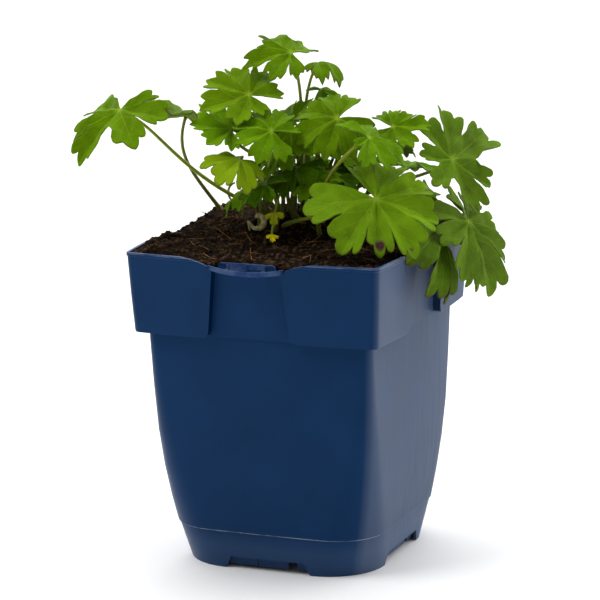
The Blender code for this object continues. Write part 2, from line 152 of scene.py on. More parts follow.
def link(name: str, data: bpy.types.ID) -> bpy.types.Object:
    """Make an object of some data and link it to the scene."""
    made = bpy.data.objects.new(name, data)
    bpy.context.scene.collection.objects.link(made)
    return made


def plain_mesh(piece: bpy.types.Object) -> bpy.types.Mesh:
    """Mesh of a piece with its modifiers applied."""
    graph = bpy.context.evaluated_depsgraph_get()
    return bpy.data.meshes.new_from_object(piece.evaluated_get(graph))


def mesh_object(name: str, points: Sequence[Vector], faces: Sequence[Sequence[int]],
                materials: Sequence[bpy.types.Material] = ()) -> bpy.types.Object:
    """Make a smooth-shaded object from millimetre points.

    Args:
        name: the object's name.
        points: the points, in millimetres.
        faces: the corners of each face.
        materials: the object's materials.

    Returns:
        The object, linked to the scene.
    """
    mesh = bpy.data.meshes.new(name)
    mesh.from_pydata([tuple(c * MM for c in p) for p in points], [], [tuple(f) for f in faces])
    mesh.polygons.foreach_set("use_smooth", [True] * len(mesh.polygons))
    for item in materials:
        mesh.materials.append(item)
    return link(name, mesh)


def bmesh_object(name: str, shape: bmesh.types.BMesh) -> bpy.types.Object:
    """Turn a mesh in the making into an object, linked to the scene."""
    mesh = bpy.data.meshes.new(name)
    shape.to_mesh(mesh)
    shape.free()
    return link(name, mesh)


def bridge(low: Sequence, high: Sequence) -> list[tuple]:
    """Four-cornered faces between two rings of equal count."""
    count = len(low)
    return [(low[n], low[(n + 1) % count], high[(n + 1) % count], high[n]) for n in range(count)]


def tube_rings(line: Sequence[Vector], radii: Sequence[float], sides: int) -> list[list[Vector]]:
    """Rings of points around a line, without twist.

    Args:
        line: points of the line.
        radii: the tube's radius at each point.
        sides: points in a ring.

    Returns:
        One ring a point of the line.
    """
    last = len(line) - 1
    ahead = (line[1] - line[0]).normalized()
    across = ahead.orthogonal().normalized()
    rings = []
    for k, (spot, radius) in enumerate(zip(line, radii)):
        ahead = (line[min(k + 1, last)] - line[max(k - 1, 0)]).normalized()
        across = (across - ahead * across.dot(ahead)).normalized()
        other = ahead.cross(across)
        angles = [2 * math.pi * n / sides for n in range(sides)]
        rings.append([spot + (across * math.cos(a) + other * math.sin(a)) * radius for a in angles])
    return rings


def carry(piece: bpy.types.Object, slot: str, *nodes: str) -> bpy.types.Object:
    """Let a piece ride on the part and stand for its solids.

    Args:
        piece: the finished piece.
        slot: the record's material slot; not used.
        nodes: the solids that the piece stands for.

    Returns:
        The piece.
    """
    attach(piece, ROOT)
    if nodes:
        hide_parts(*nodes)
    log.info("%s: %d faces", piece.name, len(piece.data.polygons))
    return piece


# Finishes

@dataclass(frozen=True)
class MouldedPolypropylene:
    """Injection-moulded polypropylene, dyed through: satin, a little cloudy, drawn streaks down its walls."""

    name: str = "satin_moulded_polypropylene"
    colour: str = "#07305a"
    deep: str = "#042749"
    painted_edge_highlight: str = "#a9b8c8"
    haze: str = "#d5dde6"
    cloud_mm: float = 26.0
    streak_mm: float = 1.6
    streak_run_mm: float = 70.0
    grain_mm: float = 0.8
    parting_mm: float = 16.7
    parting: float = 0.85
    parting_reach_mm: float = 0.3
    rim_mm: float = 134.6
    rim_reach_mm: float = 0.3
    rim: float = 0.3
    painted_floor_reflection: str = "#4f6688"
    painted_floor_reflection_share: float = 0.2
    painted_floor_reflection_mm: tuple = (10.0, 18.0)
    painted_sheen_share: float = 0.075
    painted_sheen_edge_mm: tuple = (-2.0, 5.0)
    painted_sheen_fade_mm: tuple = (-45.0, 30.0)
    highlight_patch_mm: float = 9.0
    rough: tuple = (0.28, 0.42)
    sheen: float = 0.17
    specular: float = 0.035

    def material(self) -> bpy.types.Material:
        """Build the plastic's material."""
        made, shader = new_material(self.name, IOR=1.49, Specular_IOR_Level=self.specular,
                                    Sheen_Weight=self.sheen, Sheen_Roughness=0.5)
        shader.inputs["Sheen Tint"].default_value = linear(self.haze)
        tree = made.node_tree
        place = add_node(tree, "ShaderNodeTexCoord").outputs["Object"]
        split = add_node(tree, "ShaderNodeSeparateXYZ", {0: place})
        cloud = add_node(tree, NOISE, {"Vector": place, "Scale": 1 / (self.cloud_mm * MM), "Detail": 3.0})
        run = add_node(tree, "ShaderNodeMapping", {
            "Vector": place, "Scale": (1.0, 1.0, self.streak_mm / self.streak_run_mm)})
        streak = add_node(tree, NOISE, {"Vector": run, "Scale": 1 / (self.streak_mm * MM), "Detail": 4.0})
        grain = add_node(tree, NOISE, {"Vector": place, "Scale": 1 / (self.grain_mm * MM), "Detail": 2.0})
        body = add_node(tree, MIX, {
            "Factor": cloud, "A": linear(self.deep), "B": linear(self.colour)}, data_type="RGBA")
        # The parting line and the rim's edge carry a pale painted highlight, broken into patches, where their
        # small ledges catch the light.
        highlight_bands = None
        for height, reach, share in ((self.parting_mm, self.parting_reach_mm, self.parting),
                                     (self.rim_mm, self.rim_reach_mm, self.rim)):
            away = add_node(tree, MATH, {0: split.outputs["Z"], 1: height * MM}, operation="SUBTRACT")
            near = add_node(tree, MATH, {0: away}, operation="ABSOLUTE")
            band = add_node(tree, RANGE, {
                "Value": near, "From Min": 0.0, "From Max": reach * MM, "To Min": share, "To Max": 0.0})
            highlight_bands = band if highlight_bands is None else add_node(tree, MATH, {0: highlight_bands, 1: band}, operation="ADD")
        patch = add_node(tree, NOISE, {
            "Vector": place, "Scale": 1 / (self.highlight_patch_mm * MM), "Detail": 5.0, "Roughness": 0.7})
        highlight_patches = add_node(tree, RANGE, {"Value": patch, "From Min": 0.36, "From Max": 0.56})
        mask = add_node(tree, MATH, {0: highlight_bands, 1: highlight_patches}, operation="MULTIPLY")
        # The foot below the parting line is painted paler blue-grey, a painted reflection of the white floor.
        low = add_node(tree, RANGE, {
            "Value": split.outputs["Z"], "From Min": self.painted_floor_reflection_mm[0] * MM, "From Max": self.painted_floor_reflection_mm[1] * MM,
            "To Min": self.painted_floor_reflection_share, "To Max": 0.0})
        # A pale haze is painted on the +X side as a painted sheen, the bright backdrop's reflection, most
        # toward the front corner, where X is the size of Y.
        past = add_node(tree, MATH, {0: split.outputs["X"], 1: split.outputs["Y"]}, operation="ADD")
        side = add_node(tree, RANGE, {
            "Value": past, "From Min": self.painted_sheen_edge_mm[0] * MM, "From Max": self.painted_sheen_edge_mm[1] * MM})
        fade = add_node(tree, RANGE, {
            "Value": split.outputs["Y"], "From Min": self.painted_sheen_fade_mm[0] * MM,
            "From Max": self.painted_sheen_fade_mm[1] * MM, "To Min": self.painted_sheen_share, "To Max": 0.0})
        painted_sheen = add_node(tree, MATH, {0: side, 1: fade}, operation="MULTIPLY")
        # These mixes paint light: a floor reflection on the foot, a sheen on the +X side, and highlights on
        # the parting ledge and the rim.
        for share, top in ((low, self.painted_floor_reflection), (painted_sheen, self.haze), (mask, self.painted_edge_highlight)):
            body = add_node(tree, MIX, {"Factor": share, "A": body, "B": linear(top)}, data_type="RGBA")
        rough = add_node(tree, RANGE, {
            "Value": streak, "From Min": 0.3, "From Max": 0.7, "To Min": self.rough[0],
            "To Max": self.rough[1]})
        relief = add_node(tree, MATH, {0: streak, 1: 0.6, 2: grain}, operation="MULTIPLY_ADD")
        bump = add_node(tree, "ShaderNodeBump", {"Height": relief, "Strength": 0.12, "Distance": 0.1 * MM})
        wire(shader, Base_Color=body, Roughness=rough, Normal=bump)
        return made


@dataclass(frozen=True)
class LivingLeaf:
    """Fresh leaf: soft-sheened green skin, paler veins sunk in it, pale below, light glowing through."""

    deep: str = "#2a4a00"
    fresh: str = "#64930a"
    young: str = "#93a716"
    vein: str = "#8aa62c"
    below: str = "#6d8136"
    spot: str = "#4a2a30"
    name: str = "living_leaf"
    mottle_mm: float = 5.0
    patch_mm: float = 19.0
    cell_mm: float = 1.5
    main_width: float = 0.016
    side_width: float = 0.010
    half_width: float = 0.38
    side_veins: tuple = ((0.22, 0.62), (0.40, 0.44), (0.62, 0.36))

    def material(self) -> bpy.types.Material:
        """Build the leaf's material; it reads the lobe UV map and the look attribute."""
        made, shader = new_material(self.name, IOR=1.42, Subsurface_Weight=0.10,
                                    Subsurface_Scale=0.8 * MM, Specular_IOR_Level=0.01)
        shader.inputs["Subsurface Radius"].default_value = (0.7, 1.0, 0.1)
        tree = made.node_tree
        place = add_node(tree, "ShaderNodeTexCoord").outputs["Object"]
        lobe = add_node(tree, "ShaderNodeUVMap", uv_map="lobe")
        at = add_node(tree, "ShaderNodeSeparateXYZ", {0: lobe})
        along = at.outputs["Y"]
        share = add_node(tree, MATH, {0: at.outputs["X"], 1: 2.0, 2: -1.0}, operation="MULTIPLY_ADD")
        side = add_node(tree, MATH, {0: share}, operation="ABSOLUTE")
        wide = add_node(tree, MATH, {0: side, 1: along}, operation="MULTIPLY")
        off = add_node(tree, MATH, {0: wide, 1: self.half_width}, operation="MULTIPLY")
        veins = add_node(tree, RANGE, {
            "Value": off, "From Min": 0.2 * self.main_width, "From Max": self.main_width, "To Min": 1.0,
            "To Max": 0.0})
        # Side veins leave the midrib at these shares of its length, each with its own slope to a tooth.
        for start, slope in self.side_veins:
            line = add_node(tree, MATH, {0: along, 1: slope, 2: -slope * start}, operation="MULTIPLY_ADD")
            away = add_node(tree, MATH, {0: off, 1: line}, operation="SUBTRACT")
            near = add_node(tree, MATH, {0: away}, operation="ABSOLUTE")
            band = add_node(tree, RANGE, {
                "Value": near, "From Min": 0.2 * self.side_width, "From Max": self.side_width,
                "To Min": 0.55, "To Max": 0.0})
            past = add_node(tree, RANGE, {"Value": along, "From Min": start, "From Max": start + 0.03})
            shown = add_node(tree, MATH, {0: band, 1: past}, operation="MULTIPLY")
            veins = add_node(tree, MATH, {0: veins, 1: shown}, operation="MAXIMUM")
        look = add_node(tree, "ShaderNodeAttribute", attribute_name="look")
        parts = add_node(tree, "ShaderNodeSeparateColor", {0: look.outputs["Color"]})
        mottle = add_node(tree, NOISE, {
            "Vector": place, "Scale": 1 / (self.mottle_mm * MM), "Detail": 4.0, "Roughness": 0.6})
        patch = add_node(tree, NOISE, {"Vector": place, "Scale": 1 / (self.patch_mm * MM), "Detail": 1.0})
        both = add_node(tree, MATH, {0: mottle, 1: patch}, operation="ADD")
        shift = add_node(tree, MATH, {0: both, 1: 0.8, 2: -0.8}, operation="MULTIPLY_ADD")
        tone = add_node(tree, MATH, {0: parts.outputs[0], 1: shift}, operation="ADD", use_clamp=True)
        green = add_node(tree, MIX, {
            "Factor": tone, "A": linear(self.deep), "B": linear(self.fresh)}, data_type="RGBA")
        heart = add_node(tree, RANGE, {
            "Value": along, "From Min": 0.02, "From Max": 0.14, "To Min": 0.8, "To Max": 0.0})
        fade = add_node(tree, RANGE, {
            "Value": along, "From Min": 0.1, "From Max": 1.0, "To Min": 0.55, "To Max": 0.12})
        drawn = add_node(tree, MATH, {0: veins, 1: fade}, operation="MULTIPLY")
        pale = add_node(tree, MATH, {0: drawn, 1: heart}, operation="MAXIMUM")
        # The underside's pale colour: real on the lower skin, a painted sheen where down puts it on the upper
        # skin.
        under = add_node(tree, MATH, {0: parts.outputs[2], 1: 0.6}, operation="MULTIPLY")
        for share, top in ((parts.outputs[1], self.young), (pale, self.vein), (under, self.below),
                           (look.outputs["Alpha"], self.spot)):
            green = add_node(tree, MIX, {"Factor": share, "A": green, "B": linear(top)}, data_type="RGBA")
        cells = add_node(tree, "ShaderNodeTexVoronoi", {
            "Vector": place, "Scale": 1 / (self.cell_mm * MM)}, feature="DISTANCE_TO_EDGE")
        pillow = add_node(tree, RANGE, {"Value": cells, "From Min": 0.0, "From Max": 0.35})
        sunk = add_node(tree, MATH, {0: veins, 1: -1.6, 2: pillow}, operation="MULTIPLY_ADD")
        bump = add_node(tree, "ShaderNodeBump", {"Height": sunk, "Strength": 0.55, "Distance": 0.12 * MM})
        rough = add_node(tree, RANGE, {"Value": mottle, "To Min": 0.38, "To Max": 0.56})
        wire(shader, Base_Color=green, Roughness=rough, Normal=bump)
        return made


@dataclass(frozen=True)
class LeafStalk:
    """Living stalk: round and downy, green, and browner where it is riper."""

    green: str = "#8ea31e"
    ripe: str = "#54480e"
    mottle_mm: float = 3.0

    def material(self) -> bpy.types.Material:
        """Build the stalk's material; it reads object coordinates and the look attribute."""
        made, shader = new_material("leaf_stalk", IOR=1.42, Subsurface_Weight=0.1,
                                    Subsurface_Scale=0.6 * MM, Roughness=0.5, Specular_IOR_Level=0.25)
        tree = made.node_tree
        place = add_node(tree, "ShaderNodeTexCoord").outputs["Object"]
        look = add_node(tree, "ShaderNodeAttribute", attribute_name="look")
        parts = add_node(tree, "ShaderNodeSeparateColor", {0: look.outputs["Color"]})
        mottle = add_node(tree, NOISE, {"Vector": place, "Scale": 1 / (self.mottle_mm * MM), "Detail": 3.0})
        shift = add_node(tree, MATH, {0: mottle, 1: 0.5, 2: -0.25}, operation="MULTIPLY_ADD")
        ripe = add_node(tree, MATH, {0: parts.outputs[1], 1: shift}, operation="ADD", use_clamp=True)
        colour = add_node(tree, MIX, {
            "Factor": ripe, "A": linear(self.green), "B": linear(self.ripe)}, data_type="RGBA")
        wire(shader, Base_Color=colour)
        return made


@dataclass(frozen=True)
class GroundMatter:
    """Peat, bark, dry fibre, bud skin or down: dull and patchy, so no two grains look the same."""

    name: str
    dark: str
    light: str
    patch_mm: float
    rough: float = 0.95
    bump: float = 0.6
    fine_mm: float = 0.7
    specular: float = 0.06

    def material(self) -> bpy.types.Material:
        """Build the material."""
        made, shader = new_material(self.name, IOR=1.35, Roughness=self.rough,
                                    Specular_IOR_Level=self.specular)
        tree = made.node_tree
        place = add_node(tree, "ShaderNodeTexCoord").outputs["Object"]
        patch = add_node(tree, NOISE, {
            "Vector": place, "Scale": 1 / (self.patch_mm * MM), "Detail": 6.0, "Roughness": 0.7})
        spread = add_node(tree, RANGE, {"Value": patch, "From Min": 0.38, "From Max": 0.68})
        colour = add_node(tree, MIX, {
            "Factor": spread, "A": linear(self.dark), "B": linear(self.light)}, data_type="RGBA")
        fine = add_node(tree, NOISE, {
            "Vector": place, "Scale": 1 / (self.fine_mm * MM), "Detail": 5.0, "Roughness": 0.7})
        bump = add_node(tree, "ShaderNodeBump", {
            "Height": fine, "Strength": self.bump, "Distance": 0.5 * MM})
        wire(shader, Base_Color=colour, Normal=bump)
        return made


# Leaves

class Tooth(Enum):
    """How round a leaf's teeth are: the power of the curve over each tooth, and how deep they are cut."""

    POINTED = (1.1, 0.17)
    BLUNT = (1.5, 0.15)
    ROUND = (2.1, 0.18)


@dataclass(frozen=True)
class LeafPlan:
    """One leaf: heart, turn, lobes and root. Angles are in degrees, bend in radians."""

    heart: tuple
    heading: float
    pitch: float
    roll: float
    bend: float
    lobes: tuple
    root: tuple
    sway: tuple = (0.0, 0.0, 0.0)
    stalk: float = 0.95


@dataclass(frozen=True)
class LeafLook:
    """How one leaf looks: tone, yellow and stalk ripeness from 0 to 1, teeth, lobes' gap, width and wave.

    Spots are the lobe's number from 0, the share of its length and the radius. Cut is where the lobes
    part, as a share of their length. Down puts the pale underside colour on the upper side as a painted
    sheen, and brown stains the margin.
    """

    tone: float = 0.55
    yellow: float = 0.12
    ripe: float = 0.35
    tooth: Tooth = Tooth.BLUNT
    gap: float = 0.06
    widest: float = 27.0
    wave: float = 0.7
    spots: tuple = ()
    cut: float = 0.54
    down: float = 0.0
    brown: float = 0.0


def even_lobes(count: int, step: float, length: float) -> tuple:
    """Lobes at even angles, the outer ones shorter."""
    middle = (count - 1) / 2
    return tuple(((k - middle) * step, length * (1 - 0.22 * abs(k - middle) / middle)) for k in range(count))


# The leaves as their solids have them. Most of these values weren't chosen by hand: separate fitting
# programs worked them out from the photograph, and the part's source holds the same table.
LEAVES = {
    "leaf_01": LeafPlan((-67, -32, 190), 242, -30, -1, 0.6,
                    ((-97, 25), (-38, 25), (-8, 29), (57, 25), (103, 24), (155, 17)),
                    (-19, 16), (-40, -12, -17)),
    "leaf_02": LeafPlan((-49, -6, 184), 290, 34, -24, 0.9,
                    ((-110, 16), (-50, 18), (0, 25), (45, 14), (110, 16)), (-47, 28), (-13, -4, -5)),
    "leaf_03": LeafPlan((-8, 12, 210), 202, 17, -22, 0.65,
                    ((-120, 17), (-53, 21), (-10, 15), (32, 22), (72, 20), (110, 15)),
                    (-6, 17), (-3, 4, -2)),
    "leaf_04": LeafPlan((1, 19, 205), 357, 8, -13, 1.6,
                    ((-95, 10), (-55, 17), (-13, 18), (48, 11), (112, 12)), (-1, 16), (-1, -3, -4)),
    "leaf_05": LeafPlan((-18, -10, 195), 185, 17, -28, 0.3,
                    ((-142, 15), (-88, 20), (-48, 21), (-8, 21), (46, 22), (97, 18), (140, 13)),
                    (-14, 10), (-3, 0, 1)),
    "leaf_06": LeafPlan((-24, -16, 181), 162, 31, -11, 0.3,
                    ((-141, 15), (-92, 16), (-53, 18), (-15, 20), (42, 17), (95, 15), (140, 12)),
                    (-12, 8), (4, 4, 10)),
    "leaf_07": LeafPlan((-4, -20, 182), 188, 20, -33, 0.6,
                    ((-135, 13), (-90, 17), (-46, 17), (-1, 19), (42, 16), (93, 17), (136, 16)),
                    (-11, -2), (-16, 7, -1)),
    "leaf_08": LeafPlan((-17, -24, 170), 266, 3, -20, 1,
                    ((-141, 15), (-94, 16), (-50, 17), (4, 19), (51, 19), (90, 14), (139, 15)),
                    (-17, -5), (1, 8, 8)),
    "leaf_09": LeafPlan((-8, -18, 159), 162, -9, -23, 0.7,
                    ((-141, 9), (-94, 9), (-47, 12), (2, 16), (49, 13), (96, 13), (132, 12)),
                    (-9, -6), (0, 5, -4)),
    "leaf_10": LeafPlan((19, -4, 186), 216, -15, -38, 0.75,
                    ((-137, 17), (-98, 19), (-52, 21), (2, 21), (50, 20), (90, 20), (137, 18)),
                    (3, 9), (-5, 14, -13)),
    "leaf_11": LeafPlan((-3, 0, 180), 198, -40, -33, 0.45,
                    ((-138, 17), (-102, 19), (-47, 14), (0, 12), (47, 13), (94, 18), (141, 17)),
                    (-6, 7), (-4, -3, -7)),
    "leaf_12": LeafPlan((1, 22, 193), 57, 2, 17, 0.75,
                    ((-115, 8), (-58, 8), (5, 9), (58, 8), (112, 7)), (4, 22)),
    "leaf_13": LeafPlan((10, 30, 175), 62, -2, 8, 0.6, even_lobes(7, 47, 15), (4, 16), (-1, 0, 2)),
    "leaf_14": LeafPlan((38, 10, 181), 10, 5, 32, 0.4,
                    ((-141, 13), (-97, 14), (-50, 15), (8, 16), (54, 12), (91, 12), (128, 14)),
                    (14, 20), (13, -8, -10)),
    "leaf_15": LeafPlan((38, -18, 181), 37, -21, 22, 0.65,
                    ((-130, 10), (-98, 18), (-60, 17), (-3, 20), (47, 18), (94, 16), (141, 15)),
                    (10, -4), (-3, -1, -6)),
    "leaf_16": LeafPlan((33, 20, 173), 71, -16, 2, 0.8, even_lobes(5, 55, 14), (11, 22), (6, -1, 1)),
    "leaf_17": LeafPlan((61, 18, 167), 71, 14, 50, 0.3,
                    ((-163, 17), (-101, 24), (-62, 20), (6, 30), (46, 27), (84, 23), (141, 15)),
                    (13, 16), (3, 6, -4)),
    "leaf_18": LeafPlan((43, -24, 157), 1, -21, 31, 0.55,
                    ((-148, 30), (-90, 29), (-57, 26), (-26, 30), (18, 28), (62, 27), (103, 27), (137, 23)),
                    (-7, -2), (10, -11, -17)),
    "leaf_19": LeafPlan((71, 10, 143), 356, -46, 8, 0.65,
                    ((-135, 18), (-84, 21), (-48, 29), (-15, 32), (28, 24), (66, 19), (122, 18)),
                    (6, 9), (13, -3, -6)),
    "leaf_20": LeafPlan((47, 20, 149), 83, 13, 45, 0.45,
                    ((-116, 11), (-58, 13), (8, 15), (55, 12), (110, 9)), (12, 26), (-3, 0, 3)),
    "leaf_21": LeafPlan((59, 4, 140), 290, 1, -60, 0.9,
                    ((-100, 23), (-48, 27), (2, 34), (33, 36), (70, 32), (105, 25)), (11, 7), (6, -5, 2)),
    "leaf_22": LeafPlan((61, 37, 139), 293, 4, -63, 0.8,
                    ((-48, 18), (10, 28), (42, 36), (66, 33), (100, 24)), (18, 22), (-3, 2, -2)),
    "leaf_23": LeafPlan((-20, 41, 149), 130, -6, 0, 0.6, even_lobes(5, 60, 17), (-14, 28)),
    "leaf_24": LeafPlan((-14, 35, 162), 110, -5, 5, 0.6, even_lobes(7, 47, 17), (-8, 26), (0, 3, -2)),
    "leaf_25": LeafPlan((33, 44, 160), 40, -10, -5, 0.6, even_lobes(5, 60, 16), (5, 30)),
    "leaf_26": LeafPlan((0, -2, 164), 259, -21, 9, 0.7, even_lobes(5, 55, 17), (1, 1), (-16, -3, 7)),
    "leaf_27": LeafPlan((11, 6, 161), 295, -13, -5, 0.7, even_lobes(5, 55, 16), (-3, 11), (-1, -7, 4)),
    "leaf_28": LeafPlan((16, 30, 160), 319, -25, -1, 0.7, even_lobes(5, 55, 14), (6, 24), (-7, 4, -2)),
    "leaf_29": LeafPlan((-22, 9, 153), 201, -21, 10, 0.7, even_lobes(5, 55, 14), (-21, 7), (-8, 6, 0)),
    "shoot_01": LeafPlan((-5, -16, 147), 285, -48, 10, 0.3, even_lobes(3, 62, 6), (-9, -10), stalk=0.6),
    "shoot_02": LeafPlan((-4, -22, 139), 300, -40, -8, 0.3, even_lobes(3, 55, 4), (-6, -17), stalk=0.6),
}

# The middle of the crown, where the young leaves rise, and the turn from one to the next.
CROWN = (-2.0, 12.0)
GOLDEN_ANGLE = 137.5


def young_plans(count: int = 10) -> dict[str, LeafPlan]:
    """Plan the small leaves deep in the crown, in a spiral by the golden angle, the outer ones lower.

    Args:
        count: how many there are.

    Returns:
        The plans, by name.
    """
    first_turn, inner, spread, high, fall = 60, 8, 18, 182, 28
    plans = {}
    for k in range(count):
        turn = GOLDEN_ANGLE * k + first_turn
        share = k / (count - 1)
        reach = inner + spread * share
        across, back = math.cos(math.radians(turn)), math.sin(math.radians(turn))
        heart = (CROWN[0] + reach * across, CROWN[1] + reach * back, high - fall * share)
        root = (CROWN[0] + reach * across / 2, CROWN[1] + reach * back / 2)
        lobes = even_lobes(*((7, 46) if k % 2 else (5, 58)), 12 + 3 * share)
        plans[f"young_leaf_{k + 1:02d}"] = LeafPlan(heart, turn, -30, 5, 0.7, lobes, root, stalk=0.6)
    return plans


LOOKS = {
    "leaf_01": LeafLook(0.50, 0.14, 0.10, Tooth.BLUNT, 0.10, 25.0, 0.8, cut=0.44),
    "leaf_02": LeafLook(0.30, 0.10, 0.60, Tooth.BLUNT, brown=0.4),
    "leaf_03": LeafLook(0.36, 0.12, 0.10, Tooth.POINTED, 0.10),
    "leaf_04": LeafLook(0.36, 0.10, 0.3, Tooth.POINTED, brown=0.3),
    "leaf_05": LeafLook(0.46, 0.18, 0.4, Tooth.POINTED, cut=0.56),
    "leaf_06": LeafLook(1.0, 0.12, 0.4, Tooth.POINTED, cut=0.58),
    "leaf_07": LeafLook(0.50, 0.08, 0.4, Tooth.POINTED, cut=0.58),
    "leaf_08": LeafLook(0.70, 0.50, 0.3, Tooth.ROUND, 0.03, 30.0, brown=0.45, cut=0.68),
    "leaf_09": LeafLook(0.30, 0.02, 0.5, Tooth.BLUNT, cut=0.6),
    "leaf_10": LeafLook(0.40, 0.14, 0.4, Tooth.POINTED, cut=0.56),
    "leaf_11": LeafLook(0.50, 0.16, 0.4, Tooth.POINTED),
    "leaf_12": LeafLook(0.40, 0.05, 0.4, Tooth.ROUND, cut=0.6),
    "leaf_14": LeafLook(0.50, 0.12, 0.4, Tooth.POINTED, 0.08, 24.0, 0.7, ((1, 0.9, 1.5),)),
    "leaf_15": LeafLook(0.50, 0.08, 0.4, Tooth.ROUND, cut=0.58),
    "leaf_17": LeafLook(0.36, 0.06, 0.4, Tooth.ROUND, 0.14, 24.0, 0.8, ((1, 0.95, 0.8),), 0.46, 0.42),
    "leaf_18": LeafLook(0.56, 0.16, 0.2, Tooth.ROUND, 0.03, 28.0, 0.9,
                        ((2, 0.85, 2.3), (3, 0.9, 1.0)), 0.55, 0.12, 0.12),
    "leaf_19": LeafLook(0.30, 0.05, 0.4, Tooth.ROUND, 0.07, 26.0, 0.9, ((3, 0.5, 0.8),), 0.50, 0.58),
    "leaf_20": LeafLook(0.22, 0.02, 0.5, Tooth.ROUND, 0.06, 27.0, 0.6, ((2, 0.3, 1.5),), brown=0.5),
    "leaf_21": LeafLook(0.15, 0.06, 0.5, Tooth.ROUND, 0.03, 30.0, 0.8, cut=0.74, down=0.35, brown=0.6),
    "leaf_22": LeafLook(0.40, 0.05, 0.5, Tooth.ROUND, down=0.7),
    "shoot_01": LeafLook(0.45, 0.15, 0.2, Tooth.POINTED, 0.1, 24.0, 0.1),
    "shoot_02": LeafLook(0.95, 0.9, 0.2, Tooth.POINTED, 0.1, 24.0, 0.1),
}
BACK_LOOK = LeafLook(0.40, 0.05, 0.45, Tooth.BLUNT)
YOUNG_LOOK = LeafLook(0.45, 0.12, 0.4, Tooth.POINTED, cut=0.6)
INNER_LOOK = LeafLook(0.20, 0.03, 0.6, Tooth.BLUNT)
INNER = ("leaf_26", "leaf_27", "leaf_28", "leaf_29")


@dataclass
class Mesh:
    """Points, faces and what each carries, gathered before the mesh is made."""

    points: list = field(default_factory=list)
    looks: list = field(default_factory=list)
    faces: list = field(default_factory=list)
    corners: list = field(default_factory=list)
    slots: list = field(default_factory=list)

    def add(self, point: Vector, look: tuple) -> int:
        """Add a point with its look and return its index."""
        self.points.append(point)
        self.looks.append(look)
        return len(self.points) - 1

    def face(self, corners: Sequence[int], uvs: Sequence[tuple], slot: int) -> None:
        """Add a face with a UV for each corner and its material slot."""
        self.faces.append(tuple(corners))
        self.corners.extend(uvs)
        self.slots.append(slot)

    def tube(self, rings: Sequence[Sequence[int]], levels: Sequence[float], slot: int) -> None:
        """Join rings of points into a closed tube, with a height in the UV map for each ring."""
        sides = len(rings[0])
        for low, high, level in zip(rings, rings[1:], levels):
            for quad in bridge(low, high):
                self.face(quad, [(0.5, level)] * 4, slot)
        self.face(rings[0][::-1], [(0.5, levels[0])] * sides, slot)
        self.face(rings[-1], [(0.5, levels[-1])] * sides, slot)

    def build(self, name: str, materials: Sequence[bpy.types.Material]) -> bpy.types.Object:
        """Make the object, with its lobe UV map and look attribute.

        Args:
            name: the object's name.
            materials: the object's materials.

        Returns:
            The object.
        """
        made = mesh_object(name, self.points, self.faces, materials)
        made.data.polygons.foreach_set("material_index", self.slots)
        lobe = made.data.uv_layers.new(name="lobe")
        lobe.data.foreach_set("uv", [c for uv in self.corners for c in uv])
        look = made.data.attributes.new("look", "FLOAT_COLOR", "POINT")
        look.data.foreach_set("color", [c for row in self.looks for c in row])
        return made


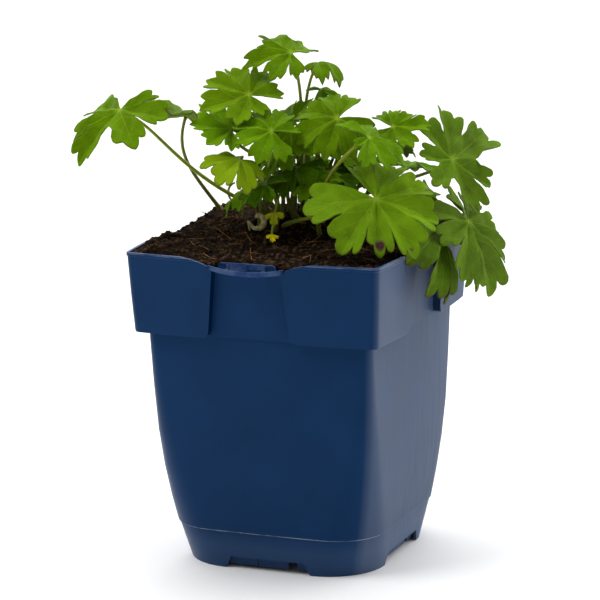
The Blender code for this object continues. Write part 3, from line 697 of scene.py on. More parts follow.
@dataclass
class CranesbillLeaf:
    """One palmate leaf: a blade of toothed lobes on a slender stalk that stands in the compost."""

    name: str
    plan: LeafPlan
    look: LeafLook
    thickness: float = 0.45
    fold: float = 0.16
    crumple: float = 1.1
    crumple_mm: float = 6.0
    across: int = 24
    inner_rows: int = 6
    outer_rows: int = 10
    stalk_sides: int = 8
    stalk_steps: int = 22
    stalk_taper: float = 0.62
    hole_depth: float = 7.7
    crown: float = 1.02
    valley: float = 0.42
    side_tooth: float = 0.70
    side_spans: tuple = (0.28, 0.30)
    side_reach: float = 0.965
    outer_half: float = 0.8

    def __post_init__(self) -> None:
        """Work out the blade's axes, its size and its own chance."""
        turn = Matrix.Rotation(math.radians(self.plan.heading), 3, "Z")
        turn = turn @ Matrix.Rotation(math.radians(-self.plan.pitch), 3, "Y")
        turn = turn @ Matrix.Rotation(math.radians(self.plan.roll), 3, "X")
        self.tip, self.left, self.top = turn.col[0], turn.col[1], turn.col[2]
        self.size = max(length for _, length in self.plan.lobes)
        self.chance = random.Random(self.name)
        self.phase = self.chance.uniform(0, 2 * math.pi)

    def place(self, angle: float, reach: float, lift: float) -> Vector:
        """World point of the blade.

        Args:
            angle: angle in the blade, in degrees.
            reach: arc length from the heart.
            lift: height over the bent blade.

        Returns:
            The point, in millimetres.
        """
        b = self.plan.bend * reach / self.size
        out = reach * math.sin(b) / b if b > 1e-6 else reach
        drop = reach * (1 - math.cos(b)) / b if b > 1e-6 else 0.0
        a = math.radians(angle)
        flat = self.tip * (out * math.cos(a)) + self.left * (out * math.sin(a))
        return Vector(self.plan.heart) + flat + self.top * (lift - drop)

    def edge(self, side: float, lean: float) -> float:
        """Reach of a lobe's toothed edge, as a share of the lobe's length.

        Args:
            side: share of the half lobe, from -1 to 1.
            lean: how much the lobe's left and right teeth differ.

        Returns:
            The reach.
        """
        power, deep = self.look.tooth.value
        share = abs(side)
        if share <= self.valley:
            low, high, x = self.crown - deep, self.crown + 0.02 * lean, share / self.valley
        else:
            low = self.crown - deep - 0.10 * (share - self.valley) / (1 - self.valley)
            high = self.side_reach + lean * math.copysign(0.06, side)
            x = abs(share - self.side_tooth) / self.side_spans[share > self.side_tooth]
        return low + (high - low) * max(0.0, 1 - min(1.0, x) ** power) ** (1 / power)

    def lift(self, share: float, angle: float, reach: float, length: float) -> float:
        """Height of the folded and waved blade over its bent middle."""
        fold = self.fold * abs(share) ** 1.3 * reach
        sink = 0.03 * self.size * math.sin(math.pi * min(1.0, reach / length)) * (1 - abs(share))
        far = (reach / self.size) ** 2
        a = math.radians(angle)
        wave = math.sin(5 * a + self.phase) + 0.4 * math.sin(14 * a + 2 * self.phase)
        spot = Vector((reach * math.cos(a), reach * math.sin(a), 5 * self.phase)) / self.crumple_mm
        crumple = self.crumple * min(1.0, reach / self.crumple_mm) * noise.noise(spot)
        return fold - sink + 0.5 * self.look.wave * far * wave + crumple

    def blade(self, mesh: Mesh) -> None:
        """Add the blade's two skins and its edge to the mesh."""
        angles = [a for a, _ in self.plan.lobes]
        lengths = [length for _, length in self.plan.lobes]
        halves = [(b - a) / 2 for a, b in zip(angles, angles[1:])]
        middle: list[Vector] = []
        margins: list[float] = []
        seen: dict[tuple, int] = {}
        quads: list[tuple] = []
        shares = [-1 + 2 * c / self.across for c in range(self.across + 1)]
        for k, (angle, length) in enumerate(self.plan.lobes):
            half = (halves[max(0, k - 1)], halves[min(k, len(halves) - 1)])
            before = self.outer_half * length if k == 0 else (lengths[k - 1] + length) / 2
            last = k == len(lengths) - 1
            after = self.outer_half * length if last else (lengths[k + 1] + length) / 2
            cuts = (self.look.cut * before, self.look.cut * after)
            lean = self.chance.uniform(-1, 1)
            rows = []
            for r in range(self.inner_rows + self.outer_rows + 1):
                row = []
                for s in shares:
                    side = 0 if s < 0 else 1
                    cut = cuts[side] + (1.1 * sum(cuts) / 2 - cuts[side]) * (1 - abs(s) ** 1.5)
                    t = max(0.0, (r - self.inner_rows) / self.outer_rows)
                    width = half[side]
                    width += (min(width, self.look.widest) - width) * smooth_step(t * 3)
                    width *= 1 - self.look.gap * smooth_step(t * 2)
                    if r <= self.inner_rows:
                        reach = cut * r / self.inner_rows
                    else:
                        reach = cut + (self.edge(s, lean) * length - cut) * t
                    at = angle + s * width
                    point = self.place(at, reach, self.lift(s, at, reach, length))
                    key = tuple(round(c, 4) for c in point)
                    index = seen.setdefault(key, len(middle))
                    if index == len(middle):
                        middle.append(point)
                        margins.append(smooth_step(t * 4 - 3))
                    row.append((index, (0.5 + 0.5 * s, reach / length)))
                rows.append(row)
            for low, high in zip(rows, rows[1:]):
                for c in range(self.across):
                    ring = [low[c], high[c], high[c + 1], low[c + 1]]
                    kept = [p for n, p in enumerate(ring) if p[0] != ring[n - 1][0]]
                    if len(kept) > 2:
                        quads.append(tuple(kept))
        self.thicken(mesh, middle, margins, quads)

    def thicken(self, mesh: Mesh, middle: list[Vector], margins: list[float], quads: list[tuple]) -> None:
        """Turn the blade's middle surface into a closed leaf, pale side down.

        Args:
            mesh: takes the points and faces.
            middle: points of the middle surface.
            margins: how near each point is to the margin, from 0 to 1.
            quads: faces of it, each corner a point index and its UV.
        """
        normals = [Vector() for _ in middle]
        edges: dict[tuple, tuple] = {}
        for quad in quads:
            corners = [middle[i] for i, _ in quad]
            normal = (corners[1] - corners[0]).cross(corners[2] - corners[0])
            for (i, uv), (j, uw) in zip(quad, quad[1:] + quad[:1]):
                normals[i] += normal
                edges[(i, j)] = (uv, uw)
        up = 1 if sum(n.dot(self.top) for n in normals) > 0 else -1
        skins = ([], [])
        for point, normal, margin in zip(middle, normals, margins):
            out = normal.normalized() * (up * self.thickness / 2)
            stain = max(self.stain(point), self.look.brown * margin)
            for skin, sign in ((0, 1), (1, -1)):
                # On the upper skin the third value, down, is a painted sheen; on the lower skin it is the real
                # pale underside.
                look = (self.look.tone, self.look.yellow, max(self.look.down, skin), stain)
                skins[skin].append(mesh.add(point + out * sign, look))
        upper, lower = skins if up > 0 else skins[::-1]
        for quad in quads:
            mesh.face([upper[i] for i, _ in quad], [uv for _, uv in quad], 0)
            mesh.face([lower[i] for i, _ in reversed(quad)], [uv for _, uv in reversed(quad)], 0)
        for (i, j), (uv, uw) in edges.items():
            if (j, i) not in edges:
                mesh.face((upper[j], upper[i], lower[i], lower[j]), (uw, uv, uv, uw), 0)

    def stain(self, point: Vector) -> float:
        """How much of a spot's colour a point takes."""
        deepest = 0.0
        for lobe, share, radius in self.look.spots:
            angle, length = self.plan.lobes[lobe]
            away = (point - self.place(angle, share * length, 0.0)).length + 0.35 * noise.noise(point * 1.5)
            deepest = max(deepest, smooth_step((1.25 * radius - away) / (0.5 * radius)))
        return deepest

    def stalk_line(self) -> list[Vector]:
        """Points of the stalk, out of its hole and along a curve to the heart."""
        heart = Vector(self.plan.heart)
        ground = Vector((*self.plan.root, soil_height(*self.plan.root)))
        rise = (heart - ground).length
        first = ground + Vector((0, 0, 0.4 * rise)) + Vector(self.plan.sway)
        last = heart - (self.top * 0.8 + self.tip * 0.55).normalized() * (0.3 * rise)
        line = [ground - Vector((0, 0, self.hole_depth)), ground - Vector((0, 0, 1.5))]
        for k in range(self.stalk_steps + 1):
            t = k / self.stalk_steps
            s = 1 - t
            line.append(ground * s ** 3 + first * (3 * s * s * t) + last * (3 * s * t * t) + heart * t ** 3)
        return line

    def stem(self, mesh: Mesh) -> None:
        """Add the stalk's closed tube to the mesh."""
        line = self.stalk_line()
        count = len(line) - 1
        shares = [max(0, k - 2) / (count - 2) for k in range(count + 1)]
        radii = []
        for t in shares:
            radius = self.plan.stalk * (1 - (1 - self.stalk_taper) * t + 0.25 * max(0.0, 1 - 9 * t))
            radii.append(radius * (1 + 0.35 * smooth_step((t - 0.93) / 0.07)))
        rings = []
        for t, ring in zip(shares, tube_rings(line, radii, self.stalk_sides)):
            ripe = min(1.0, self.look.ripe + 0.35 * (1 - t) ** 2)
            rings.append([mesh.add(point, (self.look.tone, ripe, 0.0, 0.0)) for point in ring])
        mesh.tube(rings, [k / count for k in range(count + 1)], 1)

    def build(self, skin: bpy.types.Material, stalk: bpy.types.Material) -> bpy.types.Object:
        """Build the leaf, and let it stand for its solid if it has one.

        Args:
            skin: the blade's material.
            stalk: the stalk's material.

        Returns:
            The piece.
        """
        mesh = Mesh()
        self.blade(mesh)
        self.stem(mesh)
        piece = mesh.build(self.name + "_grown", (skin, stalk))
        return carry(piece, "leaf", *(n for n in (self.name,) if n in frame["nodes"]))


@dataclass
class BareStem:
    """A thin bare stem or a curled bud: a round tube through a few points."""

    name: str
    points: tuple
    radii: tuple
    look: tuple = (0.5, 0.3, 0.0, 0.0)
    steps: int = 6
    sides: int = 8

    def blend(self, values: Sequence, k: int, t: float) -> Vector | float:
        """Smooth curve through the values around one stretch."""
        a, b, c, d = (values[min(max(k + n, 0), len(values) - 1)] for n in (-1, 0, 1, 2))
        square = (a * 2 - b * 5 + c * 4 - d) * (t * t / 2)
        cube = (b * 3 - a - c * 3 + d) * (t ** 3 / 2)
        return b + (c - a) * (t / 2) + square + cube

    def build(self, finish: bpy.types.Material) -> bpy.types.Object:
        """Build the stem.

        Args:
            finish: its material.

        Returns:
            The piece.
        """
        spots = [Vector(p) for p in self.points]
        stretches = [(k, n / self.steps) for k in range(len(spots) - 1) for n in range(self.steps)]
        stretches.append((len(spots) - 2, 1.0))
        line = [self.blend(spots, k, t) for k, t in stretches]
        rings = tube_rings(line, [self.blend(self.radii, k, t) for k, t in stretches], self.sides)
        mesh = Mesh()
        rows = [[mesh.add(point, self.look) for point in ring] for ring in rings]
        mesh.tube(rows, [0.5] * len(rows), 0)
        return carry(mesh.build(self.name, (finish,)), "leaf")


def hook(centre: tuple, radii: tuple, turns: tuple, steps: int = 6) -> tuple:
    """Points of an upright spiral.

    Args:
        centre: the spiral's middle.
        radii: first and last radius.
        turns: first and last angle, in degrees.
        steps: stretches between the points.

    Returns:
        The points, one more than the stretches.
    """
    points = []
    for k in range(steps + 1):
        share = k / steps
        angle = math.radians(turns[0] + (turns[1] - turns[0]) * share)
        radius = radii[0] + (radii[1] - radii[0]) * share
        points.append((centre[0] + radius * math.cos(angle), centre[1], centre[2] + radius * math.sin(angle)))
    return tuple(points)


@dataclass
class Down:
    """Fine pale hairs on stalks and blades, each a slim cone."""

    length: float = 1.0
    radius: float = 0.03

    def shapes(self) -> list[bpy.types.Object]:
        """Make a straight hair and a leaning one."""
        made = []
        for lean in (0.0, 0.35):
            ring = [(self.radius * math.cos(a), self.radius * math.sin(a), 0.0) for a in (0.0, 2.1, 4.2)]
            points = ring + [(lean * self.length, 0.0, self.length)]
            made.append(mesh_object("hair_shape", points, [(0, 1, 3), (1, 2, 3), (2, 0, 3), (2, 1, 0)]))
        return made

    def bed(self, pieces: Sequence[bpy.types.Object], slot: int) -> bpy.types.Object:
        """Copy the faces of one material slot of all pieces into one surface."""
        gathered = bmesh.new()
        for piece in pieces:
            gathered.from_mesh(piece.data)
        others = [f for f in gathered.faces if f.material_index != slot]
        bmesh.ops.delete(gathered, geom=others, context="FACES")
        return bmesh_object("hair_bed", gathered)


# Compost

SOIL_Z = 134.0
SOIL_TILT = 0.014
MOUND = (-6.0, 13.0)
MOUND_H = 7.0
MOUND_R = 17.0


def soil_height(x: float, y: float) -> float:
    """Height of the compost's smooth top, as its solid has it."""
    away = ((x - MOUND[0]) ** 2 + (y - MOUND[1]) ** 2) / (2 * MOUND_R ** 2)
    lumps = 0.5 * math.sin(0.21 * x + 1.0) * math.cos(0.19 * y) + 0.3 * math.sin(0.43 * x + 0.37 * y)
    return SOIL_Z + SOIL_TILT * (y - x) + MOUND_H * math.exp(-away) + lumps


def scatter_tree() -> bpy.types.NodeTree:
    """Build the Geometry Nodes tree that scatters small shapes over a surface.

    Returns:
        The tree. It picks shapes from a collection, tilts them off the surface's normal by a chance
        angle, spins and sizes them, and gives them one material.
    """
    tree = bpy.data.node_groups.new("scatter_over_surface", "GeometryNodeTree")
    sockets = (("Surface", "NodeSocketGeometry"), ("Shapes", "NodeSocketCollection"),
               ("Finish", "NodeSocketMaterial"), ("Density", "NodeSocketFloat"),
               ("Smallest", "NodeSocketFloat"), ("Largest", "NodeSocketFloat"),
               ("Tilt", "NodeSocketFloat"), ("Seed", "NodeSocketInt"))
    for name, kind in sockets:
        tree.interface.new_socket(name, in_out="INPUT", socket_type=kind)
    tree.interface.new_socket("Scattered", in_out="OUTPUT", socket_type="NodeSocketGeometry")
    given = add_node(tree, "NodeGroupInput").outputs
    spread = add_node(tree, "GeometryNodeDistributePointsOnFaces", {
        "Mesh": given["Surface"], "Density": given["Density"], "Seed": given["Seed"]})
    shapes = add_node(tree, "GeometryNodeCollectionInfo", {
        "Collection": given["Shapes"], "Separate Children": True, "Reset Children": True})
    tilt = add_node(tree, MATH, {0: given["Tilt"], 1: -1.0}, operation="MULTIPLY")
    low = add_node(tree, "ShaderNodeCombineXYZ", {"X": tilt, "Y": tilt, "Z": 0.0})
    high = add_node(tree, "ShaderNodeCombineXYZ", {"X": given["Tilt"], "Y": given["Tilt"], "Z": 2 * math.pi})
    turn = add_node(tree, "FunctionNodeRandomValue", {
        "Min": low, "Max": high, "Seed": given["Seed"]}, data_type="FLOAT_VECTOR")
    spun = add_node(tree, "FunctionNodeRotateRotation", {
        "Rotation": spread.outputs["Rotation"], "Rotate By": turn}, rotation_space="LOCAL")
    scale = add_node(tree, "FunctionNodeRandomValue", {
        "Min": given["Smallest"], "Max": given["Largest"], "Seed": given["Seed"]}, data_type="FLOAT")
    placed = add_node(tree, "GeometryNodeInstanceOnPoints", {
        "Points": spread.outputs["Points"], "Instance": shapes, "Pick Instance": True, "Rotation": spun,
        "Scale": scale})
    real = add_node(tree, "GeometryNodeRealizeInstances", {0: placed})
    done = add_node(tree, "GeometryNodeSetMaterial", {"Geometry": real, "Material": given["Finish"]})
    add_node(tree, "NodeGroupOutput", {0: done})
    return tree


@dataclass
class Scatter:
    """Small shapes strewn over a surface, turned into one plain mesh."""

    name: str
    density: float
    smallest: float
    largest: float
    tilt: float
    seed: int

    def build(self, tree: bpy.types.NodeTree, bed: bpy.types.Object, shapes: Sequence[bpy.types.Object],
              finish: bpy.types.Material, slot: str) -> bpy.types.Object:
        """Strew the shapes over the bed.

        Args:
            tree: the scatter tree.
            bed: the surface, removed by the caller.
            shapes: the small shapes, at the origin, one unit long being one millimetre.
            finish: their material.
            slot: the record's material slot.

        Returns:
            The piece.
        """
        group = bpy.data.collections.new(self.name + "_shapes")
        for shape in shapes:
            for owner in list(shape.users_collection):
                owner.objects.unlink(shape)
            group.objects.link(shape)
        carrier = link(self.name + "_bed", bed.data.copy())
        modifier = carrier.modifiers.new("scatter", "NODES")
        modifier.node_group = tree
        values = {"Shapes": group, "Finish": finish, "Density": self.density, "Smallest": self.smallest,
                  "Largest": self.largest, "Tilt": self.tilt, "Seed": self.seed}
        for item in tree.interface.items_tree:
            if item.in_out == "INPUT" and item.name in values:
                modifier[item.identifier] = values[item.name]
        mesh = plain_mesh(carrier)
        bpy.data.objects.remove(carrier)
        mesh.polygons.foreach_set("use_smooth", [True] * len(mesh.polygons))
        piece = link(self.name, mesh)
        for shape in list(group.objects):
            bpy.data.objects.remove(shape)
        bpy.data.collections.remove(group)
        return carry(piece, slot)


@dataclass
class Compost:
    """Potting compost: a crumbly dark top with loose grains and dry straws, down to the pot's floor."""

    grid: int = 200
    wall_levels: tuple = (131.0, 120.0, 106.0, 103.6, 101.0, 90.0, 78.0, 58.0, 42.0, 28.0, 17.5, 11.6)
    relief: tuple = ((7.0, 1.1), (3.2, 0.9), (1.5, 0.55))
    settle: float = 0.5
    heap: float = 2.7
    rim_slope: float = 0.6
    rim_share: float = 0.07
    crumb_radius: float = 0.5
    crumb_lump: float = 0.55
    straw_steps: int = 8
    straw_length: float = 10.0
    straw_radius: float = 0.12

    def wall(self, tree: BVHTree, across: float, along: float, z: float) -> Vector:
        """Where the compost's wall stands in a direction from the middle, at a height."""
        away = Vector((across, along, 0)).normalized()
        start = (away * 90 + Vector((0, 0, z))) * MM
        hit = tree.ray_cast(start, -away)[0]
        return Vector((hit.x / MM, hit.y / MM, z))

    def rough_height(self, x: float, y: float, rim: float) -> float:
        """Height of the compost's crumbly top, heaped along the left and back and sloping down at the rim."""
        heap = max(smooth_step((-x - 28) / 20), smooth_step((y - 30) / 20)) * smooth_step((y + 56) / 9)
        up = soil_height(x, y) - self.settle + self.heap * heap * (1 - self.rim_slope * rim)
        for k, (size, height) in enumerate(self.relief):
            up += height * noise.noise(Vector((x / size, y / size, 3.7 * k)))
        return up

    def build(self, finish: bpy.types.Material) -> tuple[bpy.types.Object, bpy.types.Object]:
        """Build the compost's body.

        Args:
            finish: the compost's material.

        Returns:
            The piece, and a copy of its top alone for strewing things on.
        """
        solid = frame["nodes"]["compost"].data
        tree = BVHTree.FromPolygons([v.co for v in solid.vertices], [p.vertices for p in solid.polygons])
        n = self.grid
        points = []
        for j in range(n + 1):
            for i in range(n + 1):
                u, v = 2 * i / n - 1, 2 * j / n - 1
                if i == j == n // 2:
                    x, y = 0.0, 0.0
                else:
                    edge = self.wall(tree, u, v, self.wall_levels[0])
                    x, y = (edge * max(abs(u), abs(v))).xy
                rim = smooth_step((max(abs(u), abs(v)) - 1 + self.rim_share) / self.rim_share)
                points.append(Vector((x, y, self.rough_height(x, y, rim))))
        faces = []
        for j in range(n):
            for i in range(n):
                a = j * (n + 1) + i
                faces.append((a, a + 1, a + n + 2, a + n + 1))
        # The wall goes down from the top's border, ring by ring.
        bed = mesh_object("compost_bed", points, faces)
        border = [i for i in range(n + 1)] + [j * (n + 1) + n for j in range(1, n + 1)]
        border += [n * (n + 1) + i for i in range(n - 1, -1, -1)]
        border += [j * (n + 1) for j in range(n - 1, 0, -1)]
        ring = border
        for z in self.wall_levels:
            lower = []
            for index in border:
                lower.append(len(points))
                points.append(self.wall(tree, points[index].x, points[index].y, z))
            faces += bridge(lower, ring)
            ring = lower
        faces.append(tuple(reversed(ring)))
        piece = mesh_object("compost_fill", points, faces, (finish,))
        return carry(piece, "compost", "compost"), bed

    def crumb(self, index: int) -> bpy.types.Object:
        """One irregular grain, about a millimetre across."""
        shape = bmesh.new()
        bmesh.ops.create_icosphere(shape, subdivisions=1, radius=self.crumb_radius * MM)
        for vert in shape.verts:
            lump = 1 + self.crumb_lump * noise.noise(vert.co / MM * 1.7 + Vector((9.1 * index, 0, 0)))
            vert.co = Vector((vert.co.x * lump * 1.15, vert.co.y * lump, vert.co.z * lump * 0.8))
        return bmesh_object(f"crumb_{index}", shape)

    def straw(self, index: int) -> bpy.types.Object:
        """One dry fibre, ten millimetres long, bent along its own wandering line."""
        chance = random.Random(100 + index)
        shape = bmesh.new()
        ahead = Vector((1, 0, 0))
        spot = Vector((-5, 0, 0.25))
        bend, lift = chance.uniform(-0.1, 0.1), chance.uniform(-0.03, 0.04)
        rings = []
        for k in range(self.straw_steps + 1):
            radius = self.straw_radius * (1 - 0.5 * abs(2 * k / self.straw_steps - 1) ** 3)
            other = ahead.cross(Vector((0, 0, 1))).normalized()
            rise = other.cross(ahead)
            ring = []
            for q in range(4):
                a = math.pi / 2 * q
                out = other * math.cos(a) + rise * math.sin(a)
                ring.append(shape.verts.new((spot + out * radius) * MM))
            rings.append(ring)
            ahead = (ahead + other * (bend + chance.uniform(-0.08, 0.08)) + Vector((0, 0, lift))).normalized()
            spot = spot + ahead * (self.straw_length / self.straw_steps)
        for low, high in zip(rings, rings[1:]):
            for quad in bridge(low, high):
                shape.faces.new(quad)
        shape.faces.new(rings[0][::-1])
        shape.faces.new(rings[-1])
        bmesh.ops.recalc_face_normals(shape, faces=shape.faces[:])
        return bmesh_object(f"straw_{index}", shape)


# Pot

@dataclass
class NurseryPot:
    """The moulded pot, as its solid has it but with rounder corners and finer curves.

    A body row is height, half side, corner radius and outward bow of the sides. The rows repeat the part's
    source, where a separate fit to the photograph's outline gave most of them.
    """

    body: tuple = (
        (0.0, 43.0, 24.0, 0.0), (16.6, 45.8, 20.3, 0.4), (16.9, 46.2, 20.2, 0.4), (28.0, 47.4, 17.2, 0.6),
        (42.0, 48.6, 14.1, 0.9), (58.0, 49.3, 10.6, 1.2), (78.0, 49.5, 7.0, 1.6), (103.5, 49.7, 3.8, 2.0),
    )
    collar: tuple = (
        (101.2, 53.7, 3.4, 1.8), (101.7, 53.9, 3.4, 1.8), (118.0, 54.8, 3.1, 2.2), (133.3, 55.5, 2.9, 2.6),
        (133.7, 55.8, 2.9, 2.6), (134.7, 55.8, 2.9, 2.6), (135.0, 55.6, 2.7, 2.6),
    )
    wall: float = 1.2
    height: float = 135.0
    floor_z: float = 10.0
    skirt_in: float = 2.3
    skirt_z: float = 1.2
    hub_r: float = 7.0
    drain_r: float = 4.5
    drain_side: float = 27.0
    drain_corner: float = 25.0
    recess_top: float = 15.0
    recess_bottom: float = 17.9
    recess_aside: float = -0.9
    tab_aside: float = -1.1
    recess_round: float = 3.4
    recess_y: tuple = (52.2, 54.2)
    tab_x: float = 12.6
    tab_top: float = 133.1
    tab_low: float = 130.6
    tab_round: float = 1.6
    lip_x: float = 16.6
    lip_z: float = 130.9
    lip_rise: float = 1.6
    lip_h: float = 2.1
    lip_y: float = 57.8
    lip_bulge: float = 1.6
    ribs_x: tuple = (-8.1, 0.0, 8.1)
    notch: tuple = (16.5, 19.0, 5.3)
    slits: tuple = ((8.6, 12.6), (-5.3, -4.9))
    side_steps: int = 16
    corner_steps: int = 9
    level_mm: float = 3.5
    crease_deg: float = 24.0
    cut_far: float = -70.0
    block_far: float = -75.0
    notch_y: tuple = (-41.6, -60.0)
    rib_half: float = 0.4
    rim_dip: tuple = ((15.5, 131.0), (16.4, 131.6), (17.8, 132.2), (19.5, 132.9), (22.0, 133.7),
                      (25.0, 134.4), (28.0, 134.85), (30.5, 135.1), (30.5, 139.0))
    dip_start: float = 130.4
    steep: float = 0.7
    lip_front: float = -52.0
    recess_reach: float = 23.0

    def ring(self, row: Sequence[float], inset: float) -> list[tuple]:
        """Points of a rounded square with sides that bow outward."""
        z, half, radius, bow = row
        half -= inset
        radius = max(radius - inset, 0.8)
        flat = half - radius
        edge = []
        for k in range(self.side_steps + 1):
            t = 2 * k / self.side_steps - 1
            edge.append((t * flat, -half - bow * (1 - t * t)))
        for k in range(1, self.corner_steps):
            a = math.radians(90 * k / self.corner_steps - 90)
            edge.append((flat + radius * math.cos(a), -flat + radius * math.sin(a)))
        points = []
        for turn in range(4):
            c, s = round(math.cos(turn * math.pi / 2)), round(math.sin(turn * math.pi / 2))
            points += [(c * x - s * y, s * x + c * y, z) for x, y in edge]
        return points

    def row(self, rows: Sequence[tuple], z: float) -> tuple:
        """Row of a table at a height; the end rows run on straight."""
        for low, high in zip(rows, rows[1:]):
            if z <= high[0] or high is rows[-1]:
                t = (z - low[0]) / (high[0] - low[0])
                return (z, *(p + t * (q - p) for p, q in zip(low[1:], high[1:])))
        return rows[-1]

    def loft(self, rings: Sequence[Sequence[tuple]]) -> bpy.types.Object:
        """Close a stack of rings of equal count into one solid."""
        count = len(rings[0])
        points = [p for ring in rings for p in ring]
        faces = [tuple(reversed(range(count)))]
        last = (len(rings) - 1) * count
        for low in range(0, last, count):
            faces += bridge(range(low, low + count), range(low + count, low + 2 * count))
        faces.append(tuple(range(last, last + count)))
        return mesh_object("pot_work", points, faces)

    def walls(self, rows: Sequence[tuple], low: float, high: float, inset: float) -> bpy.types.Object:
        """Loft a table between two heights, moved in by an inset."""
        levels = [low] + [row[0] for row in rows if low < row[0] < high] + [high]
        fine = []
        for start, stop in zip(levels, levels[1:]):
            count = max(1, round((stop - start) / self.level_mm))
            fine += [start + (stop - start) * k / count for k in range(count)]
        return self.loft([self.ring(self.row(rows, z), inset) for z in fine + [high]])

    def prism(self, outline: Sequence[tuple], near: float | None, far: float,
              grow: float = 0.0) -> bpy.types.Object:
        """Extrude an x-z outline along Y, from a plane or from the recess wall to a plane."""
        front = [(x, self.recess_depth(z, grow) if near is None else near, z) for x, z in outline]
        return self.loft([front, [(x, far, z) for x, z in outline]])

    def box(self, low: tuple, high: tuple) -> bpy.types.Object:
        """Make a box between two corners."""
        ring = ((low[0], low[1]), (high[0], low[1]), (high[0], high[1]), (low[0], high[1]))
        return self.loft([[(x, y, z) for x, y in ring] for z in (low[2], high[2])])

    def post(self, centre: tuple, radius: float, low: float, high: float) -> bpy.types.Object:
        """Make an upright round post."""
        angles = [2 * math.pi * i / 32 for i in range(32)]
        ring = [(centre[0] + radius * math.cos(a), centre[1] + radius * math.sin(a)) for a in angles]
        return self.loft([[(x, y, z) for x, y in ring] for z in (low, high)])

    def combine(self, target: bpy.types.Object, others: Sequence[bpy.types.Object],
                operation: str) -> bpy.types.Object:
        """Apply one Boolean of several solids to the target, then remove those solids."""
        group = bpy.data.collections.new("pot_tools")
        bpy.context.scene.collection.children.link(group)
        for other in others:
            bpy.context.scene.collection.objects.unlink(other)
            group.objects.link(other)
        modifier = target.modifiers.new("combine", "BOOLEAN")
        modifier.operation = operation
        modifier.operand_type = "COLLECTION"
        modifier.collection = group
        modifier.solver = "EXACT"
        self.settle(target)
        for other in list(group.objects):
            bpy.data.objects.remove(other)
        bpy.data.collections.remove(group)
        return target

    def settle(self, piece: bpy.types.Object) -> None:
        """Turn a piece's modifiers into plain mesh."""
        mesh = plain_mesh(piece)
        piece.modifiers.clear()
        piece.data = mesh

    def four(self, make: Callable[[], bpy.types.Object], aside: bool = True) -> list[bpy.types.Object]:
        """Make one solid for each of the pot's sides, aside with the recess or in the middle."""
        made = []
        for turn in range(4):
            piece = make()
            if aside:
                piece.data.transform(Matrix.Translation((self.recess_aside * MM, 0, 0)))
            piece.data.transform(Matrix.Rotation(turn * math.pi / 2, 4, "Z"))
            made.append(piece)
        return made

    def recess_depth(self, z: float, grow: float = 0.0) -> float:
        """Y of the recess wall's outer face on the front side."""
        low, high = self.recess_y
        return grow - low - (z - self.collar[0][0]) / (self.height - self.collar[0][0]) * (high - low)

    def mirrored(self, right: list[tuple]) -> list[tuple]:
        """Whole outline of which only the right half is given."""
        return right + [(-x, z) for x, z in reversed(right)]

    def recess(self) -> bpy.types.Object:
        """Recess of the front side: rounded lower corners, and a rim that dips toward the pocket."""
        foot = self.collar[0][0]
        corner = []
        for k in range(9):
            a = math.radians(90 * k / 8)
            across, up = 1 - math.sin(a), 1 - math.cos(a)
            corner.append((self.recess_bottom + self.recess_round * across, foot + self.recess_round * up))
        start = (self.recess_bottom + self.recess_round, foot - 1.0)
        right = [start, *corner, (self.recess_top, self.dip_start), *self.rim_dip]
        return self.prism(self.mirrored(right), None, self.cut_far)

    def tab_cut(self) -> bpy.types.Object:
        """Cut that leaves a low tab with round upper corners on the front recess wall."""
        edge = self.recess_top + self.wall + 0.7
        middle = self.tab_aside
        right = [(edge, self.height + 3.0), (edge, self.tab_low)]
        left = [(-edge, self.tab_low), (-edge, self.height + 3.0)]
        for k in range(7):
            a = math.radians(15 * k)
            across = self.tab_x - self.tab_round * (1 - math.cos(a))
            up = self.tab_top - self.tab_round * (1 - math.sin(a)) if k else self.tab_low
            right.append((middle + across, up))
            left.insert(0, (middle - across, up))
        return self.prism(right + left, -self.lip_y, -self.recess_y[1] + self.wall + 0.6)

    def block(self, grow: float) -> bpy.types.Object:
        """Solid that keeps the cavity off the recess wall of the front side."""
        foot = self.collar[0][0]
        wide = self.recess_bottom + self.recess_round + grow
        right = [(wide, foot - 3.0), (wide, foot + self.recess_round),
                 (self.recess_bottom + grow, foot + 6.0), (self.recess_top + grow, self.height + 5.0)]
        return self.prism(self.mirrored(right), None, self.block_far, grow)

    def lip(self) -> bpy.types.Object:
        """Curved lip of the front label pocket, its edges rounded, its ends sunk in the panels."""
        rings = []
        for k in range(33):
            t = -1 + k / 16
            out = -self.lip_y - self.lip_bulge * (1 - t * t)
            low = self.lip_z - self.lip_h + self.lip_rise * t * t
            deep, tall, r, s = self.wall, self.lip_h, 0.55, 0.16
            section = [(r, 0), (deep - r, 0), (deep - s, s), (deep, r), (deep, tall - r),
                       (deep - s, tall - s), (deep - r, tall), (r, tall), (s, tall - s), (0, tall - r),
                       (0, r), (s, s)]
            rings.append([(t * self.lip_x, out + y, low + z) for y, z in section])
        return self.loft(rings)

